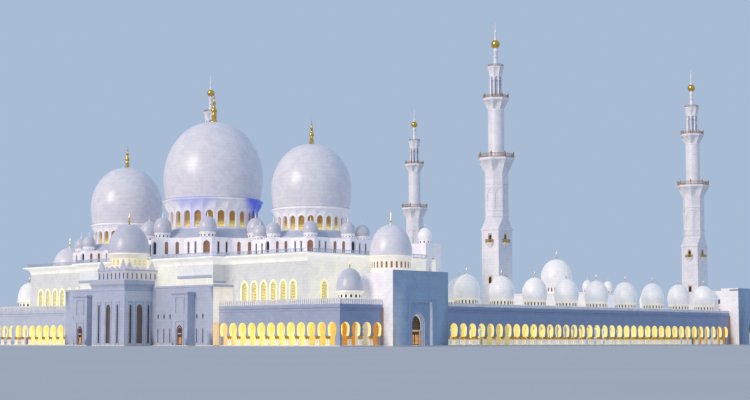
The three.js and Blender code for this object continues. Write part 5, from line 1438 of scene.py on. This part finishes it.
def fluted_corbel(work, centre, foot, top, low, high):
    """A corbel whose eight sides are hollowed into arched flutes between straight ribs."""
    rows, strips = 8, 12
    inner = foot * math.cos(EIGHTH / 2)

    def flute(_, row, i):
        across = abs((i % strips) - strips / 2) / (strips / 2)
        flat = math.cos(EIGHTH / 2) / math.cos(across * EIGHTH / 2)
        return (foot + (top - foot) * (row / rows) ** (3.4 - 2.4 * across ** 0.7)) * flat

    turn(work, centre, [(inner, low + (high - low) * j / rows) for j in range(rows + 1)], 8 * strips, 0,
         EIGHTH / 2, wave=flute)


def minaret(work, x):
    """One minaret, from its square foot to the spire."""
    centre = (x, -MINARET_Y)
    half = MINARET_SIDE / 2
    flat, side = OCTAGON_RADIUS * math.cos(EIGHTH / 2), OCTAGON_RADIUS * math.sin(EIGHTH / 2)
    rise = OCTAGON_FOOT - SQUARE_TOP
    upper_door = arch_line(1.0, DOOR_FOOT, 35.4, 36.0, 3)
    low_window = arch_line(1.0, 20.1, 21.8, 22.3, 3)
    for k in range(4):
        face = on_side(centre, k * math.pi / 2, half)
        pierced_wall(work, face, -half, half, 0.0, WINDOW_BAND_TOP,
                     [(0.0, 3.0, low_window, TOWER_GLASS)], 0.35, reveal=TOWER_GILT)
        pierced_wall(work, face, -half, half, WINDOW_BAND_TOP, SQUARE_TOP,
                     [(0.0, 3.0, upper_door, TOWER_GLASS)], 0.35)
        raised_frame(work, face, 0.0, 20.0, 1.0, 22.4, 0.16, 0.1, TOWER_GILT)
        raised_frame(work, face, 0.0, SMALL_DECK, 1.1, 36.1, 0.14, 0.08, TOWER_GILT)
        proud, wide = 0.85, 1.35
        rim = ((-wide, 0), (-wide, proud), (wide, proud), (wide, 0))
        rim_places = [(0, 0), (0, 1), (3, 1), (3, 0)]
        deck = [face(u, SMALL_DECK, -d) for u, d in rim]
        path = [(px, py) for px, py, _ in deck]
        moulding(work, path, [(0.0, SMALL_DECK_UNDER), (0.05, SMALL_DECK_UNDER + 0.05), (0.05, SMALL_DECK)])
        work.add(deck, [(0, 1, 2, 3)], rim_places)
        work.add([face(u, SMALL_DECK_UNDER, -d) for u, d in rim]
                 + [face(u, 31.6, -0.02) for u in (-0.45, 0.45)],
                 [(0, 1, 4), (1, 2, 5, 4), (2, 3, 5)], rim_places + [(1, 2), (2, 2)])
        balustrade(work, path, SMALL_DECK, SMALL_DECK + 1.15, 0.34, out=-0.06, thick=0.1, finish=TOWER_GILT,
                   rail=0.14)
        square = [face(u, SQUARE_TOP, 0) for u in (-half, half)]
        wide_face = on_side(centre, k * math.pi / 2, flat)
        diagonal = on_side(centre, (k + 0.5) * math.pi / 2, flat)
        work.add(square + [wide_face(u, OCTAGON_FOOT, 0) for u in (side, -side)], [(0, 1, 2, 3)],
                 [(-half, 0), (half, 0), (side, rise), (-side, rise)])
        work.add([square[1]] + [diagonal(u, OCTAGON_FOOT, 0) for u in (-side, side)], [(0, 1, 2)],
                 [(0, 0), (-side, rise), (side, rise)])
    foot_path = [(x + a * half, -MINARET_Y + b * half) for a, b in ((1, -1), (1, 1), (-1, 1), (-1, -1))]
    moulding(work, foot_path, [(0, SQUARE_TOP - 0.7), (0.22, SQUARE_TOP - 0.45), (0.22, SQUARE_TOP - 0.05),
                               (0, SQUARE_TOP)], True)
    blind_arch = arch_line(1.7, 44.3, 48.6, 50.6, 5)
    for k in range(8):
        place = on_side(centre, k * EIGHTH, flat)
        pierced_wall(work, place, -side, side, OCTAGON_FOOT, FIRST_CORBEL, [(0.0, 2.2, blind_arch, 0)], 0.22)
    for low, high in ((41.6, 42.0), (43.55, 43.85), (51.0, 51.25), (52.2, 52.5)):
        moulding(work, octagon_path(centre, OCTAGON_RADIUS),
                 [(0, low), (0.13, low + 0.06), (0.13, high - 0.06), (0, high)], True)
    fluted_corbel(work, centre, OCTAGON_RADIUS, FIRST_RADIUS, FIRST_CORBEL, FIRST_DECK - 0.9)
    for radius, deck, inner, rail_top, pitch in ((FIRST_RADIUS, FIRST_DECK, ROUND_RADIUS, FIRST_RAIL, 0.5),
                                                 (SECOND_RADIUS, SECOND_DECK, 1.3, SECOND_RAIL, 0.4)):
        moulding(work, octagon_path(centre, radius), [(0, deck - 0.9), (0.14, deck - 0.75), (0.14, deck),
                                                      (inner - radius, deck)], True)
        balustrade(work, octagon_path(centre, radius - 0.15), deck, rail_top - 0.35, pitch, thick=0.1,
                   closed=True, finish=TOWER_RAIL, rail=0.14)
        for px, py in octagon_path(centre, radius - 0.15):
            post(work, px, py, 0.16, 0.16, deck, rail_top, TOWER_RAIL)
            turn(work, (px, py), [(0.2, rail_top), (0.12, rail_top + 0.16), (0.0, rail_top + 0.3)], 6,
                 TOWER_RAIL)
    turn(work, centre, [(ROUND_RADIUS + 0.25, FIRST_DECK), (ROUND_RADIUS + 0.25, FIRST_DECK + 0.4),
                        (ROUND_RADIUS, FIRST_DECK + 0.6), (ROUND_RADIUS, SECOND_CORBEL - 0.5),
                        (ROUND_RADIUS + 0.1, SECOND_CORBEL - 0.4), (ROUND_RADIUS, SECOND_CORBEL)], 48)
    fluted_corbel(work, centre, ROUND_RADIUS, SECOND_RADIUS, SECOND_CORBEL, SECOND_DECK - 0.9)
    turn(work, centre, [(1.45, SECOND_DECK), (1.45, LANTERN_TOP)], 16, TOWER_SHADE)
    for k in range(8):
        angle = (k + 0.5) * EIGHTH
        spot = (centre[0] + 1.85 * math.cos(angle), centre[1] + 1.85 * math.sin(angle))
        turn(work, spot, [(0.36, SECOND_DECK), (0.36, SECOND_DECK + 0.35), (0.27, SECOND_DECK + 0.55),
                          (0.27, LANTERN_TOP - 1.6), (0.4, LANTERN_TOP - 1.1), (0.4, LANTERN_TOP - 0.9)], 12)
        arch = arch_line(1.0, LANTERN_TOP - 1.3, LANTERN_TOP - 0.7, LANTERN_TOP - 0.2, 3)
        pierced_wall(work, on_side(centre, k * EIGHTH, 2.1 * math.cos(EIGHTH / 2)), -0.8, 0.8,
                     LANTERN_TOP - 1.3, LANTERN_TOP, [(0.0, 1.3, arch, TOWER_SHADE)], 0.3)
    fluted_corbel(work, centre, 2.1, 2.75, LANTERN_TOP, CAPITAL_TOP - 0.5)
    moulding(work, octagon_path(centre, 2.75), [(0, CAPITAL_TOP - 0.5), (0.1, CAPITAL_TOP - 0.4),
                                                (0.1, CAPITAL_TOP), (-2.0, CAPITAL_TOP)], True)
    balustrade(work, octagon_path(centre, 2.6), CAPITAL_TOP, CAPITAL_TOP + 0.75, 0.34, thick=0.08,
               closed=True, finish=TOWER_RAIL, rail=0.1)
    turn(work, centre, [(0.95, CAPITAL_TOP), (0.95, CAPITAL_TOP + 0.5), (0.72, CAPITAL_TOP + 0.9),
                        (0.6, 94.2), (0.85, 94.6), (0.55, 95.0), (0.62, 96.0), (0.9, 96.6), (0.55, 97.1),
                        (0.5, BALL_Z - BALL_RADIUS + 0.1)], 16)
    rows = 12
    turns = [math.pi * j / rows for j in range(rows + 1)]
    turn(work, centre, [(BALL_RADIUS * math.sin(a), BALL_Z - BALL_RADIUS * math.cos(a)) for a in turns], 24,
         TOWER_GILT)
    turn(work, centre, [(0.5, BALL_Z + BALL_RADIUS - 0.1), (0.3, 101.0), (0.28, 102.6), (0.46, 103.0),
                        (0.2, 103.4), (0.18, 104.3), (0.32, 104.6), (0.12, 104.9), (0.0, SPIRE_TOP)], 12)


for which, x in (("west", 0.0), ("east", COURT_EAST)):
    tower = Masonry()
    minaret(tower, x)
    build_pair("#%s_minaret_finish" % which, tower,
               [white_marble, rail_bronze, gold_leaf, dark_glass, shade_marble],
               replaces=("#%s_minaret" % which,))


# Lights
# One large warm lamp stands low before the hall's front, as the evening light did, and an even cool
# surround fills the shade. Both are soft, so that no shadow has a hard edge.
KEY_STRENGTH, KEY_SPREAD = 1.97, math.radians(25)

sun_data = bpy.data.lights.new("key", "SUN")
sun_data.energy = KEY_STRENGTH
sun_data.angle = KEY_SPREAD
sun_data.color = linear("#ffe9d2")[:3]
key = bpy.data.objects.new("key", sun_data)
toward_key = Vector((-1.0, 0.05, 0.42))
key.rotation_euler = toward_key.to_track_quat("Z", "Y").to_euler()
bpy.context.scene.collection.objects.link(key)

world = bpy.data.worlds.new("studio")
world.use_nodes = True
world.node_tree.nodes.clear()
backdrop = put(world.node_tree, "ShaderNodeBackground", {"Color": linear("#a9bcd6"), "Strength": 1.0})
put(world.node_tree, "ShaderNodeOutputWorld", {"Surface": backdrop.outputs["Background"]})
bpy.context.scene.world = world
bpy.context.scene.view_settings.view_transform = "Standard"
